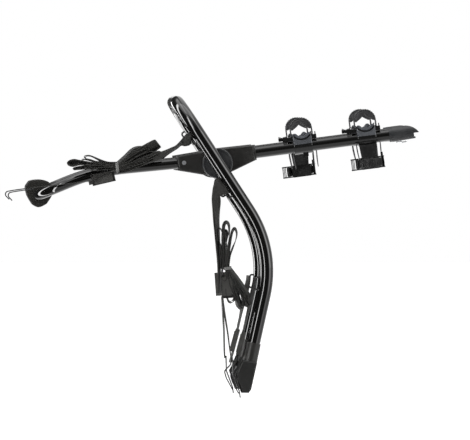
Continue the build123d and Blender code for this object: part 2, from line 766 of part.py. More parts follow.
def cam_lever():
    """Lever with its cam drum and pin; the drum clears the frame's base plate."""
    inner = buckle_width - 2 * buckle_wall - 2 * side_gap
    pin_x = -buckle_length / 2 + buckle_pin_inset
    handle_y = -buckle_depth / 2 + lever_thickness / 2 - 1
    handle = Pos(pin_x - 6 + lever_reach / 2, handle_y, 0) * Box(lever_reach, lever_thickness, inner)
    handle = fillet(handle.edges().filter_by(Axis.Y), 3.0)
    drum = Pos(pin_x, 0, 0) * Cylinder(lever_drum_r, inner)
    web = Pos(pin_x, -2.5, 0) * Box(2 * lever_drum_r, 5, inner)
    pin = Pos(pin_x, 0, 0) * Cylinder(buckle_pin_d / 2, buckle_width)
    return handle + drum + web + pin


def buckle_places():
    """Where each left buckle sits: name and location."""
    upper = Pos(hub.X - 301, -(pad_y + pad_r + web_gap + buckle_depth / 2), hub.Z - 38.5) * Rot(0, -13, 0)
    side = Pos(hub.X + 24, web_y, hub.Z - 324) * Rot(0, 86, 0)
    foot_x, foot_z = from_foot([(-19.8, 57.8)])[0]
    lower = Pos(foot_x, lower_web_y, foot_z) * Rot(0, 105, 0) * Rot(90, 0, 0)
    return {"upper": upper, "side": side, "lower": lower}


# Plate hooks
def hook_plate(points, radii, y_mid):
    return strip(points, radii, y_mid, hook_width, hook_thickness)


def upper_hook():
    points = from_hub([(-484, -67.2), (-530, -73.7), (-559, -79), (-541, -98)])
    return hook_plate(points, [60, hook_bend_r], upper_web_y)


def side_hook():
    points = from_foot([(-42.3, 15.8), (-41.3, -24.2), (-24.8, -68.2), (-22.8, -84.2)])
    return hook_plate(points, [20, 20], side_run_y)


def lower_hook():
    points = from_foot([(-25.8, 11.8), (-31.8, -8.2), (-47.8, -24.2), (-42.8, -42.2), (-25.8, -74.2)])
    return hook_plate(points, [12, 10, 20], lower_web_y)


def build_cradles(side, swivelling):
    """Both cradles of one arm; the swivelling one carries the anti-sway arm."""
    comb_tail_x = -(cradle_length + tail_thickness) / 2 - tube_seat_gap
    for index, name in enumerate(("inner", "outer")):
        gap = running_gap if index == swivelling else tube_seat_gap
        save(f"cradle_{name}_{side}", sided(cradle_at(index) * cradle_on_tube(gap), side))
        save(f"cradle_strap_{name}_{side}", sided(cradle_at(index) * cradle_strap(), side))
        tails = grouped([strap_tail(comb_tail_x), strap_tail(peg_tail_x)])
        save(f"strap_tails_{name}_{side}", sided(cradle_at(index) * tails, side))
        cushions = [cradle_at(index) * cushion(cradle_width)]
        if index == swivelling:
            cushions.append(sway_head_place(index) * cushion(sway_head_width))
        save(f"cushion_{name}_{side}", sided(grouped(cushions), side))
    save(f"sway_arm_{side}", sided(sway_arm(swivelling), side))
    save(f"sway_strap_{side}", sided(sway_head_place(swivelling) * cradle_strap(), side))


def build():
    os.makedirs("parts", exist_ok=True)
    save("main_frame_tube", main_frame_tube())
    both_sides("foot_collar", foot_collar())
    both_sides("foot_boot", foot_boot())
    both_sides("hub_disc", hub_disc())
    save("hub_bolts", grouped([pair(hub_bolt()), pair(friction_washer())]))
    save("pad_frame_tube", pad_frame_tube())
    both_sides("pad_socket", pad_socket())
    save("pad_rivets", pair(pad_rivet()))
    both_sides("foam_pad", foam_pad())
    both_sides("arm_socket", arm_socket())
    both_sides("arm_rivet", arm_rivet())
    both_sides("arm_tube", arm_tube())
    both_sides("end_cap", end_cap())
    both_sides("lock_loop", lock_loop())
    for side, swivelling in sway_index.items():
        build_cradles(side, swivelling)
    both_sides("upper_strap", upper_strap())
    both_sides("side_strap", side_strap())
    both_sides("lower_strap", lower_strap())
    frames = {}
    for name, place in buckle_places().items():
        frames[name] = place * buckle_frame()
        both_sides(f"cam_lever_{name}", place * cam_lever())
    save("pad_buckles", pair(frames["upper"]))
    save("leg_buckles", grouped([pair(frames["side"]), pair(frames["lower"])]))
    save("upper_hooks", pair(upper_hook()))
    save("leg_hooks", grouped([pair(side_hook()), pair(lower_hook())]))


build()
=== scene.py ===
# %% [markdown]
# # Strap-on rear bicycle carrier
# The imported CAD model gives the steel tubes, sockets, hooks and moulded seats.
# This lesson adds what a CAD solid shows badly: woven straps, foam, rubber and their finishes.
# Everything is in metres, +X away from the vehicle, +Z up, and the left side at -Y.

# %% Load the CAD model
import math

import bmesh
import bpy
from mathutils import Matrix, Vector


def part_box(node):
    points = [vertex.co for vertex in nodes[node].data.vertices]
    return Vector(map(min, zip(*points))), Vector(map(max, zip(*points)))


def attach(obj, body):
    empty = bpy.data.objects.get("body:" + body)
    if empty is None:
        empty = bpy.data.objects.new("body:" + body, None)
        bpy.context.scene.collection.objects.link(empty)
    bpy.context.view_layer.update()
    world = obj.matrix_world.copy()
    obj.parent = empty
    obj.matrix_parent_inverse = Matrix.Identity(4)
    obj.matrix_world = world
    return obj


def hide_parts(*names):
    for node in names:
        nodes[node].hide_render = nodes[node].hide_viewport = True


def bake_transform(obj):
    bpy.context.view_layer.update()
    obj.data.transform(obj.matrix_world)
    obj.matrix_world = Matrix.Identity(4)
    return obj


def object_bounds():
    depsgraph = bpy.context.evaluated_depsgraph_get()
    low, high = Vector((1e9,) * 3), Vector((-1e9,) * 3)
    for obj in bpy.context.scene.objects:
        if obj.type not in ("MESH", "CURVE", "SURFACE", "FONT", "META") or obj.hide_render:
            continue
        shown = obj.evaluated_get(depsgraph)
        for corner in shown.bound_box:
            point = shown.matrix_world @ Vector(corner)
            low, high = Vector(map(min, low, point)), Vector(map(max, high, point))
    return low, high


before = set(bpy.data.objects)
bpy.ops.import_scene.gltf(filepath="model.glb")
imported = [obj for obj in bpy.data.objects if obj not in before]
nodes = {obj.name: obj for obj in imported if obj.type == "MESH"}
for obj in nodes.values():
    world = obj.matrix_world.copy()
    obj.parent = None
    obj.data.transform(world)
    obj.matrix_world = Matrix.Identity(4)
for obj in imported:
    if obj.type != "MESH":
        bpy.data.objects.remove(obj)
cad_box = [list(corner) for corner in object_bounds()]
print("CAD nodes:", len(nodes), "box:", cad_box)

# %% [markdown]
# ## Where things are
# The arms and the padded frame fold about one hub axis, so points are easiest to give from it.
# A side-view point is a distance towards +X and a height above the hub, in millimetres.
# An arm slopes up by 7.4 degrees, and its cradles sit at 232 and 402 mm from the hub.

# %% Places on the carrier
HUB = Vector((-0.053, 0.0, 0.577))
MM = 0.001
SIDES = ("left", "right")
SIGN = {"left": 1, "right": -1}
CRADLE_REACH = {"inner": 0.232, "outer": 0.402}
SWIVELS = {"left": "outer", "right": "inner"}
LEG_Y, ARM_Y = -0.240, -0.145


def from_hub(x, z, y):
    """A side-view point in millimetres from the hub, at a sideways place y in metres."""
    return Vector((HUB.x + x * MM, y, HUB.z + z * MM))


ARM_SLOPE = math.radians(7.4)
ARM_AXIS_RISE = 0.015
ARM_ALONG = Vector((math.cos(ARM_SLOPE), 0, math.sin(ARM_SLOPE)))
ARM_UP = Vector((-math.sin(ARM_SLOPE), 0, math.cos(ARM_SLOPE)))


def arm_matrix(reach):
    """Frame on the left arm's axis: x along the arm, z up from it."""
    origin = HUB + ARM_UP * ARM_AXIS_RISE + ARM_ALONG * reach + Vector((0, ARM_Y, 0))
    columns = (ARM_ALONG, Vector((0, 1, 0)), ARM_UP)
    axes = Matrix([list(column) for column in columns]).transposed().to_4x4()
    return Matrix.Translation(origin) @ axes


# An anti-sway head is a second seat below its cradle, a quarter turn round the arm.
HEAD_SIDEWAYS, HEAD_DROP = 0.0055, 0.0665
HEAD_TURN = Matrix.Translation((0, HEAD_SIDEWAYS, -HEAD_DROP)) @ Matrix.Rotation(math.radians(90), 4, "X")
outer_seat = arm_matrix(CRADLE_REACH["outer"]).translation
print("left outer cradle at", [round(v, 4) for v in outer_seat])

# %% [markdown]
# ## Shader sums in plain Python
# A material is a network of nodes, and writing each node by hand hides what is calculated.
# `Wire` holds one output socket, so `1 - mask * 0.5` adds the Math nodes by itself.
# `Finish` makes any other node from its type, its settings and its inputs.

# %% A socket that can be calculated with
class Wire:
    """One output socket of a node network."""

    def __init__(self, finish, socket):
        self.finish = finish
        self.socket = socket

    def math(self, operation, first, second=0.0):
        return self.finish.node("ShaderNodeMath", {"operation": operation}, {0: first, 1: second})

    def __add__(self, other):
        return self.math("ADD", self, other)

    def __sub__(self, other):
        return self.math("SUBTRACT", self, other)

    def __rsub__(self, other):
        return self.math("SUBTRACT", other, self)

    def __mul__(self, other):
        return self.math("MULTIPLY", self, other)

    __radd__ = __add__
    __rmul__ = __mul__

    def size(self):
        return self.math("ABSOLUTE", self)

    def root(self):
        return self.math("SQRT", self)

    def wave(self):
        return self.math("SINE", self)

    def near(self, centre, half, soft):
        """1 within half of centre, falling to 0 over the next soft."""
        return 1 - (self - centre).size().between(half, half + soft)

    def between(self, low, high):
        """0 below low, 1 above high, and a straight ramp from one to the other."""
        inputs = {0: self, 1: low, 2: high}
        return self.finish.node("ShaderNodeMapRange", {"clamp": True}, inputs)


# %% [markdown]
# The same class of network serves materials and the world, so it is given a node tree.
# Its `surface` call sets plain numbers straight on the shader's own sockets.
# Only changing values are linked.

# %% A finish made of nodes
class Finish:
    """A node network for one material or for the world."""

    def __init__(self, name, owner=None):
        self.owner = owner or bpy.data.materials.new(name)
        self.owner.use_nodes = True
        self.tree = self.owner.node_tree
        self.tree.nodes.clear()

    def node(self, kind, settings=None, inputs=None, output=0):
        made = self.tree.nodes.new(kind)
        for name, value in (settings or {}).items():
            setattr(made, name, value)
        for key, value in (inputs or {}).items():
            if isinstance(value, Wire):
                self.tree.links.new(value.socket, made.inputs[key])
            else:
                made.inputs[key].default_value = value
        return Wire(self, made.outputs[output]) if made.outputs else made

    def place(self):
        """Position in the part's own frame, which moves with the piece."""
        return self.node("ShaderNodeTexCoord", output="Object")

    def parts(self, vector, letters="XYZ"):
        """The parts of a vector that the letters name, as wires."""
        return [self.node("ShaderNodeSeparateXYZ", None, {0: vector}, letter) for letter in letters]

    def ray(self, kind):
        """1 for the rays of one kind, such as Camera or Glossy."""
        return self.node("ShaderNodeLightPath", output=f"Is {kind} Ray")

    def noise(self, scale, detail):
        inputs = {"Vector": self.place(), "Scale": scale, "Detail": detail}
        return self.node("ShaderNodeTexNoise", None, inputs)

    def colours(self, share, first, second):
        """A mix of two colours, each given as three numbers or as a wire."""
        first, second = (end if isinstance(end, Wire) else (*end, 1) for end in (first, second))
        return self.node("ShaderNodeMix", {"data_type": "RGBA"}, {0: share, 6: first, 7: second}, output=2)

    def bump(self, height, strength, distance):
        inputs = {"Strength": strength, "Distance": distance, "Height": height}
        return self.node("ShaderNodeBump", None, inputs)

    def surface(self, **sockets):
        named = {key.replace("_", " "): value for key, value in sockets.items()}
        shader = self.node("ShaderNodeBsdfPrincipled", None, named)
        self.node("ShaderNodeOutputMaterial", None, {"Surface": shader})
        return self.owner


print("Finish and Wire are ready")

# %% [markdown]
# ## Painted steel
# The tubes are powder coated in gloss black: nearly smooth, with a faint orange peel.
# Long white streaks come from the studio, so the paint only needs low roughness and a fine bump.
# Handling leaves slightly duller patches, which a slow noise adds to the roughness.

# %% Gloss black paint
def gloss_black():
    finish = Finish("gloss_black_paint")
    peel = finish.noise(420.0, 2.0)
    patches = finish.noise(14.0, 4.0)
    dust = finish.noise(900.0, 1.0).between(0.66, 0.8)
    return finish.surface(
        Base_Color=finish.colours(dust, (0.0032, 0.0031, 0.0029), (0.012, 0.012, 0.012)),
        Roughness=0.05 + patches.between(0.35, 0.75) * 0.05 + dust * 0.08,
        Specular_IOR_Level=0.5,
        Normal=finish.bump(peel, 0.01, 0.0003),
    )


PAINT = gloss_black()
print(PAINT.name)

# %% [markdown]
# ## Moulded plastic
# The sockets, the hub covers and the seats are glass-filled nylon with a spark-eroded grain.
# The grain is finer than a millimetre, so it is bump from a dense noise.
# A soft cloudiness makes some places a little paler and breaks up the flat colour.

# %% Grained plastic
def moulded(name, deep, pale, roughness, gloss, grain=1500.0):
    finish = Finish(name)
    clouds = finish.noise(32.0, 5.0)
    skin = finish.noise(grain, 2.0)
    return finish.surface(
        Base_Color=finish.colours(clouds.between(0.35, 0.7), deep, pale),
        Roughness=roughness + clouds.between(0.3, 0.8) * 0.1 - skin * 0.05,
        Specular_IOR_Level=gloss,
        Normal=finish.bump(skin, 0.1, 0.0003),
    )


SOCKET = moulded("dark_socket_plastic", (0.0085, 0.0082, 0.0072), (0.0135, 0.013, 0.012), 0.42, 0.3)
COVER = moulded("blue_grey_cover_plastic", (0.018, 0.019, 0.0205), (0.026, 0.0268, 0.028), 0.36, 0.27)
BOOT = moulded("boot_rubber", (0.0075, 0.0075, 0.007), (0.012, 0.012, 0.0115), 0.5, 0.26, 900.0)
BUCKLE = moulded("buckle_grey", (0.030, 0.029, 0.027), (0.046, 0.045, 0.042), 0.4, 0.4)
print("moulded finishes:", SOCKET.name, COVER.name, BOOT.name, BUCKLE.name)

# %% [markdown]
# A seat is blue-grey, but its ratchet comb, its peg and the clamp below are black mouldings.
# They share one CAD solid, so the colour follows the place on the arm:
# further than 25 mm from the seat's middle, and lower than 5.5 mm above the arm's axis, it is black.
# A painted shade line, as black as the mouldings, follows the arc where the cushion is let in: it stands in
# for the shadow in the gap round the cushion.

# %% Seat plastic with black ends and clamp, and a painted shade line round the cushion
# Where the painted shade line lies: the height of its arc's centre above the arm's axis, and its radius.
SHADE_LINE_HEIGHT, SHADE_LINE_RADIUS = 0.0467, 0.0293
# The black of the comb, the peg and the clamp, also used for the painted shade line.
SEAT_BLACK_AND_SHADE = (0.006, 0.006, 0.006)


def seat_finish(name, origin, floor, deep, pale, gloss):
    finish = Finish(name)

    def vectors(operation, first, second, output=0):
        return finish.node("ShaderNodeVectorMath", {"operation": operation}, {0: first, 1: second}, output)

    offset = vectors("SUBTRACT", finish.place(), origin)

    def reach(direction):
        return vectors("DOT_PRODUCT", offset, direction, "Value")

    along, up = reach(ARM_ALONG), reach(ARM_UP)
    ends = along.size().between(0.0251, 0.0255)
    from_middle = (along * along + (up - SHADE_LINE_HEIGHT) * (up - SHADE_LINE_HEIGHT)).root()
    # Painted shade: a dark line on the seat along the cushion's arc, where the gap beside the cushion lies in
    # shadow.
    shade_line = from_middle.near(SHADE_LINE_RADIUS, 0.0012, 0.0005)
    # The mask is black for the real black mouldings, and for the painted shade line.
    black_and_shade = 1 - (1 - ends) * (1 - shade_line) * up.between(floor, floor + 0.0008)
    clouds = finish.noise(40.0, 4.0)
    skin = finish.noise(1500.0, 2.0)
    tint = finish.colours(clouds.between(0.35, 0.7), deep, pale)
    return finish.surface(
        Base_Color=finish.colours(black_and_shade, tint, SEAT_BLACK_AND_SHADE),
        Roughness=0.4 + clouds.between(0.3, 0.8) * 0.1 - black_and_shade * 0.22,
        Specular_IOR_Level=gloss,
        Normal=finish.bump(skin, 0.08, 0.0003),
    )


# The radius printed here is that of the painted shade line round a cushion.
print("dark seam round a cushion, radius in mm:", round(SHADE_LINE_RADIUS / MM, 1))

# %% [markdown]
# ## Metal
# The pad frame's rivets, the hub bolts and the lock loops are zinc plated: bright and a little rough.
# The hooks are dark dipped steel, whose coat wears thin in places.

# %% Zinc and dipped steel
def zinc():
    finish = Finish("zinc_plate")
    spangle = finish.noise(260.0, 4.0)
    return finish.surface(
        Base_Color=finish.colours(spangle.between(0.3, 0.7), (0.42, 0.43, 0.45), (0.62, 0.63, 0.64)),
        Metallic=1.0,
        Roughness=0.28 + spangle * 0.18,
        Normal=finish.bump(spangle, 0.1, 0.0002),
    )


def dipped_steel():
    finish = Finish("dipped_steel")
    wear = finish.noise(120.0, 6.0).between(0.62, 0.72)
    skin = finish.noise(700.0, 2.0)
    return finish.surface(
        Base_Color=finish.colours(wear, (0.014, 0.014, 0.015), (0.10, 0.10, 0.10)),
        Metallic=wear * 0.7,
        Roughness=0.34 + skin * 0.12,
        Normal=finish.bump(skin, 0.15, 0.0003),
    )


ZINC = zinc()
HOOK = dipped_steel()
print("metal finishes:", ZINC.name, HOOK.name)

# %% [markdown]
# ## Rubber and foam
# The cushions and ratchet straps are soft rubber with a dull bloom.
# The pads are closed-cell foam: a fine skin full of pores, with no gloss at all.

# %% Rubber, cushion rubber and foam
def rubber(name, deep, pale, roughness, gloss=0.4):
    finish = Finish(name)
    bloom = finish.noise(55.0, 5.0)
    skin = finish.noise(1100.0, 2.0)
    return finish.surface(
        Base_Color=finish.colours(bloom.between(0.4, 0.75), deep, pale),
        Roughness=roughness + bloom * 0.12,
        Specular_IOR_Level=gloss,
        Normal=finish.bump(skin, 0.09, 0.0003),
    )


def closed_cell_foam():
    finish = Finish("closed_cell_foam")
    mottle = finish.noise(34.0, 5.0)
    pores = finish.noise(520.0, 3.0)
    dents = finish.noise(24.0, 2.0)
    return finish.surface(
        Base_Color=finish.colours(mottle.between(0.35, 0.75), (0.012, 0.0116, 0.0102),
                                  (0.020, 0.0193, 0.0172)),
        Roughness=0.78 + pores * 0.15,
        Specular_IOR_Level=0.16,
        Sheen_Weight=0.04,
        Normal=finish.bump(pores * 0.2 + dents * 2.0, 0.08, 0.0006),
    )


STRAP_RUBBER = rubber("strap_rubber", (0.016, 0.016, 0.017), (0.026, 0.026, 0.027), 0.4)
CUSHION = rubber("cushion_rubber", (0.042, 0.046, 0.054), (0.062, 0.067, 0.077), 0.46)
HEAD_RUBBER = rubber("head_rubber", (0.009, 0.009, 0.009), (0.018, 0.018, 0.018), 0.42, 0.14)
TIE = rubber("tie_rubber", (0.10, 0.10, 0.097), (0.15, 0.15, 0.145), 0.5)
FOAM = closed_cell_foam()
print("soft finishes:", STRAP_RUBBER.name, CUSHION.name, TIE.name, FOAM.name)

# %% [markdown]
# ## Woven webbing
# Load straps are woven from flat polypropylene yarns in a plain weave about 1.6 mm wide.
# The weave must follow the band round its folds, so it is drawn in the band's own UV map,
# which holds metres along and across. Two crossed waves make the yarns, and a slower third one
# makes broad ribs along the band.

# %% Webbing finish
def webbing():
    finish = Finish("webbing_weave")
    along, across = finish.parts(finish.node("ShaderNodeUVMap", {"uv_map": "band"}), "XY")
    warp = (along * 3900.0).wave()
    weft = (across * 3500.0).wave()
    weave = (warp * weft).size()
    stripe = (across * 520.0).wave().size()
    fuzz = finish.noise(300.0, 4.0)
    share = (weave * 0.6 + fuzz * 0.5).between(0.15, 0.9)
    return finish.surface(
        Base_Color=finish.colours(share, (0.0070, 0.0068, 0.0058), (0.0150, 0.0145, 0.0124)),
        Roughness=0.66 + weave * 0.12,
        Specular_IOR_Level=0.35,
        Sheen_Weight=0.06,
        Sheen_Roughness=0.4,
        Normal=finish.bump(weave + stripe * 0.25, 0.35, 0.0004),
    )


WEBBING = webbing()
print(WEBBING.name)

# %% [markdown]
# ## Dressing the CAD nodes
# Each CAD node keeps its shape and only gets a better finish in its material slots.
# A table from name beginnings to finishes keeps this short and easy to check.

# %% Finishes for CAD nodes
def dress(node, material):
    for material_slot in nodes[node].material_slots:
        material_slot.material = material


BEGINNINGS = [
    (("main_frame_tube", "pad_frame_tube", "arm_tube"), PAINT),
    (("foot_collar", "pad_socket", "arm_socket", "arm_rivet"), SOCKET),
    (("foot_boot",), BOOT),
    (("hub_disc", "end_cap"), COVER),
    (("hub_bolts", "pad_rivets", "lock_loop"), ZINC),
    (("cam_lever", "pad_buckles", "leg_buckles"), BUCKLE),
    (("upper_hooks", "leg_hooks"), HOOK),
]
dressed = 0
for node in nodes:
    for beginnings, material in BEGINNINGS:
        if node.startswith(beginnings):
            dress(node, material)
            dressed += 1
print("dressed by table:", dressed)

# %% Finishes for the seats
SEAT_FLOOR, HEAD_FLOOR = 0.0055, -0.2
SEAT_DEEP, SEAT_PALE = (0.040, 0.043, 0.049), (0.060, 0.064, 0.072)
HEAD_DEEP, HEAD_PALE = (0.005, 0.005, 0.005), (0.010, 0.010, 0.010)
for side in SIDES:
    for seat, reach in CRADLE_REACH.items():
        origin = arm_matrix(reach).translation
        origin.y *= SIGN[side]
        material = seat_finish(f"seat_{seat}_{side}", origin, SEAT_FLOOR, SEAT_DEEP, SEAT_PALE, 0.45)
        dress(f"cradle_{seat}_{side}", material)
        if SWIVELS[side] == seat:
            head = seat_finish(f"head_{side}", origin, HEAD_FLOOR, HEAD_DEEP, HEAD_PALE, 0.32)
            dress(f"sway_arm_{side}", head)
print("seats and anti-sway arms dressed")

# %% [markdown]
# ## Camera, floor and light
# The photograph is a side view from far away, turned 2 degrees and raised half a degree.
# A very long lens at 35 m gives nearly parallel lines of sight, as it shows.
# The background is white, so the world is white for the camera, and the floor is pale.

# %% Camera
VIEW_WIDTH = 1.2455
DISTANCE = 35.0
SENSOR_WIDTH = 36.0
VIEW_TURN, VIEW_RISE = math.radians(2.0), math.radians(0.5)
target = Vector((0.0006, 0, 0.4257))
level = Vector((-math.sin(VIEW_TURN), -math.cos(VIEW_TURN), 0)) * math.cos(VIEW_RISE)
away = level + Vector((0, 0, math.sin(VIEW_RISE)))
camera = bpy.data.objects.new("camera", bpy.data.cameras.new("camera"))
bpy.context.scene.collection.objects.link(camera)
camera.data.sensor_fit = "HORIZONTAL"
camera.data.sensor_width = SENSOR_WIDTH
camera.data.lens = SENSOR_WIDTH * DISTANCE / VIEW_WIDTH
camera.location = target + away * DISTANCE
camera.rotation_mode = "QUATERNION"
camera.rotation_quaternion = (-away).to_track_quat("-Z", "Y")
camera.data.clip_end = 100.0
bpy.context.scene.camera = camera
print("lens in mm:", round(camera.data.lens, 1))

# %% [markdown]
# The world is what gloss black reflects, so it is drawn as a studio round the carrier.
# Camera rays see plain white. Reflections see dark cloth round the camera, white walls at the
# right and behind, and tall narrow lamps whose images are the sharp streaks along every tube.
# `heading` is the angle round the carrier, 0 towards the camera and positive to the right.
# Matt surfaces get a plain fill with a share of the lamps, which also keeps their grain of noise low.

# %% Studio world
GLOSS_BASE, FILL_BASE = 0.06, 0.46


def studio():
    world = bpy.data.worlds.new("studio")
    bpy.context.scene.world = world
    finish = Finish("studio", world)
    camera_ray, glossy_ray, clear_ray = (finish.ray(kind) for kind in ("Camera", "Glossy", "Transmission"))
    x, y, height = finish.parts(finish.node("ShaderNodeTexCoord", output="Generated"))
    heading = x.math("ARCTAN2", x, y * -1.0)

    def upright(centre, half, soft):
        """1 in a band of headings, given in degrees."""
        return heading.near(math.radians(centre), math.radians(half), math.radians(soft))

    low_enough = 1 - height.between(0.55, 0.75)
    left_strip = upright(-36, 4, 2) * low_enough
    back_strip = upright(-112, 5, 3) * low_enough
    right_box = upright(58, 9, 9) * height.near(0.35, 0.45, 0.2)
    right_wall = heading.between(math.radians(62), math.radians(80))
    overhead_left = x.near(-0.5, 0.25, 0.1) * height.between(0.6, 0.7)
    ceiling = height.between(0.45, 0.9)
    ground = (height * -1.0).between(0.2, 0.4) * x.between(-0.5, -0.3)
    # Each part of the studio with its brightness in gloss and its share in the fill.
    lit = [(right_wall, 0.9, 0.0), (ceiling, 0.7, 0.25), (ground, 0.9, 0.0), (left_strip, 16.0, 4.0)]
    lit += [(back_strip, 12.0, 3.0), (right_box, 4.0, 1.0), (overhead_left, 1.6, 0.0)]
    seen_in_gloss, fill = GLOSS_BASE, FILL_BASE
    for part, gloss, share in lit:
        seen_in_gloss = part * gloss + seen_in_gloss
        if share:
            fill = part * share + fill
    others = (1 - camera_ray) * (1 - glossy_ray) * (1 - clear_ray)
    strength = camera_ray + glossy_ray * seen_in_gloss + clear_ray * (1 - camera_ray) + others * fill
    background = finish.node("ShaderNodeBackground", None, {"Color": (1, 1, 1, 1), "Strength": strength})
    finish.node("ShaderNodeOutputWorld", None, {"Surface": background})


studio()
print("world:", bpy.context.scene.world.name)

# %% [markdown]
# The floor lies just below the lowest point and reaches far behind the carrier.
# For the camera it adds half of its white itself, and the rest comes from the lamps,
# so the carrier's soft shadow still shows on it.
# Mirror rays pass through it, because the world already holds the pale ground that gloss shows,
# and with it the lower ends of the tall lamps.

# %% Floor
def pale_floor(height):
    bpy.ops.mesh.primitive_grid_add(x_subdivisions=8, y_subdivisions=8, size=60.0, location=(0, 0, height))
    floor = bpy.context.object
    floor.name = "floor"
    finish = Finish("pale_floor")
    seen, mirrored = finish.ray("Camera"), finish.ray("Glossy")
    glow = finish.node("ShaderNodeEmission", None, {"Color": (1, 1, 1, 1), "Strength": seen * 0.5})
    matte = finish.node("ShaderNodeBsdfDiffuse", None, {"Color": (0.86, 0.86, 0.86, 1)})
    both = finish.node("ShaderNodeAddShader", None, {0: glow, 1: matte})
    clear = finish.node("ShaderNodeBsdfTransparent")
    ground = finish.node("ShaderNodeMixShader", None, {0: mirrored, 1: both, 2: clear})
    finish.node("ShaderNodeOutputMaterial", None, {"Surface": ground})
    floor.data.materials.append(finish.owner)
    return floor


FLOOR_GAP = 0.012
floor = pale_floor(cad_box[0][2] - FLOOR_GAP)
print("floor height:", round(floor.location.z, 4))

# %% [markdown]
# Three large lamps give soft shape: one above, one from the front left and one from the right.
# They are weak, because the paint, plastics and rubber should show their own colours.
# A lit card stands close behind at the left. It is near enough that the far leg mirrors it
# as a broad pale band and the near leg only as a thin line, as in the photograph.

# %% Lamps
AIM = Vector((0.0, 0.0, 0.42))


def softbox(name, place, watts, width, depth):
    light = bpy.data.lights.new(name, "AREA")
    light.shape = "RECTANGLE"
    light.size, light.size_y = width, depth
    light.energy = watts
    lamp = bpy.data.objects.new(name, light)
    bpy.context.scene.collection.objects.link(lamp)
    lamp.location = place
    lamp.rotation_mode = "QUATERNION"
    lamp.rotation_quaternion = (AIM - Vector(place)).to_track_quat("-Z", "Y")
    return lamp


softbox("lamp_above", (0.0, -0.4, 2.6), 26.0, 2.4, 1.6)
softbox("lamp_front", (-1.6, -2.4, 1.5), 20.0, 1.6, 1.6)
softbox("lamp_right", (2.2, -1.2, 1.2), 12.0, 1.2, 1.8)
card = softbox("bounce_card", (-0.34, 0.50, 0.19), 7.6, 1.16, 0.46)
card.rotation_quaternion = Vector((1, 0, 0)).to_track_quat("-Z", "Z")
card.visible_camera = False
card.visible_diffuse = False

bpy.context.scene.view_settings.view_transform = "Standard"

# %% [markdown]
# ## Making meshes
# Most soft pieces are either a thick side-view outline or a flat band that follows a line.
# Their helpers return mesh data in the part's frame, and `finished` makes a piece of it.
# The right-hand piece is the left-hand one with its Y turned round.

# %% Outline pieces and bands
def finished(name, mesh, side, material, body, smooth=True):
    """Link a mesh as a piece of one side, with its finish and the body it rides on."""
    if side == "right":
        mesh.transform(Matrix.Diagonal((1, -1, 1, 1)))
        mesh.flip_normals()
    mesh.name = name
    piece = bpy.data.objects.new(name, mesh)
    bpy.context.scene.collection.objects.link(piece)
    mesh.materials.append(material)
    for polygon in mesh.polygons:
        polygon.use_smooth = smooth
    if body:
        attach(piece, body)
    return piece


def mesh_from(shape):
    """Mesh data from a finished bmesh."""
    mesh = bpy.data.meshes.new("part")
    shape.to_mesh(mesh)
    shape.free()
    return mesh


def outline_mesh(outline, y_low, y_high, edge, matrix=Matrix.Identity(4)):
    """A side-view outline in millimetres made solid between two sideways places, with rounded rims."""
    shape = bmesh.new()
    front = [shape.verts.new((x * MM, y_low * MM, z * MM)) for x, z in outline]
    back = [shape.verts.new((x * MM, y_high * MM, z * MM)) for x, z in outline]
    rims = [shape.faces.new(front), shape.faces.new(back[::-1])]
    for step in range(len(outline)):
        following = (step + 1) % len(outline)
        shape.faces.new((front[following], front[step], back[step], back[following]))
    bmesh.ops.recalc_face_normals(shape, faces=shape.faces)
    if edge > 0:
        borders = list({rim_edge for rim in rims for rim_edge in rim.edges})
        bmesh.ops.bevel(shape, geom=borders, offset=edge * MM, segments=3, profile=0.5, affect="EDGES")
    bmesh.ops.transform(shape, matrix=matrix, verts=shape.verts)
    return mesh_from(shape)


def smooth_line(points, spacing=None, counts=None):
    """Points along a Catmull-Rom curve through the given ones, evenly spaced or with given counts."""
    ends = [points[0] * 2 - points[1], *points, points[-1] * 2 - points[-2]]
    line = []
    for step in range(1, len(ends) - 2):
        before, start, stop, after = ends[step - 1 : step + 3]
        count = counts[step - 1] if counts else max(2, round((stop - start).length / spacing))
        for index in range(count):
            t = index / count
            line.append(
                0.5
                * (
                    start * 2
                    + (stop - before) * t
                    + (before * 2 - start * 5 + stop * 4 - after) * t * t
                    + (start * 3 - before - stop * 3 + after) * t * t * t
                )
            )
    line.append(points[-1])
    return line


print("mesh helpers are ready")

# %% [markdown]
# A band needs a sideways direction at every point, because webbing bends only across its width.
# `woven` takes the band's line with half of its width as a vector at every point, and makes the mesh.
# The UV map holds metres along and across, for the weave.
# `band_mesh` starts the width along Y and turns it about the line by a list of twist angles.

# %% Bands
STEP = 0.0035


def distances(line):
    """How far along the line each of its points lies."""
    travelled = [0.0]
    for first, second in zip(line, line[1:]):
        travelled.append(travelled[-1] + (second - first).length)
    return travelled


def step_across(line, index):
    """From the point before to the point after, which is the line's direction there."""
    return line[min(index + 1, len(line) - 1)] - line[max(index - 1, 0)]


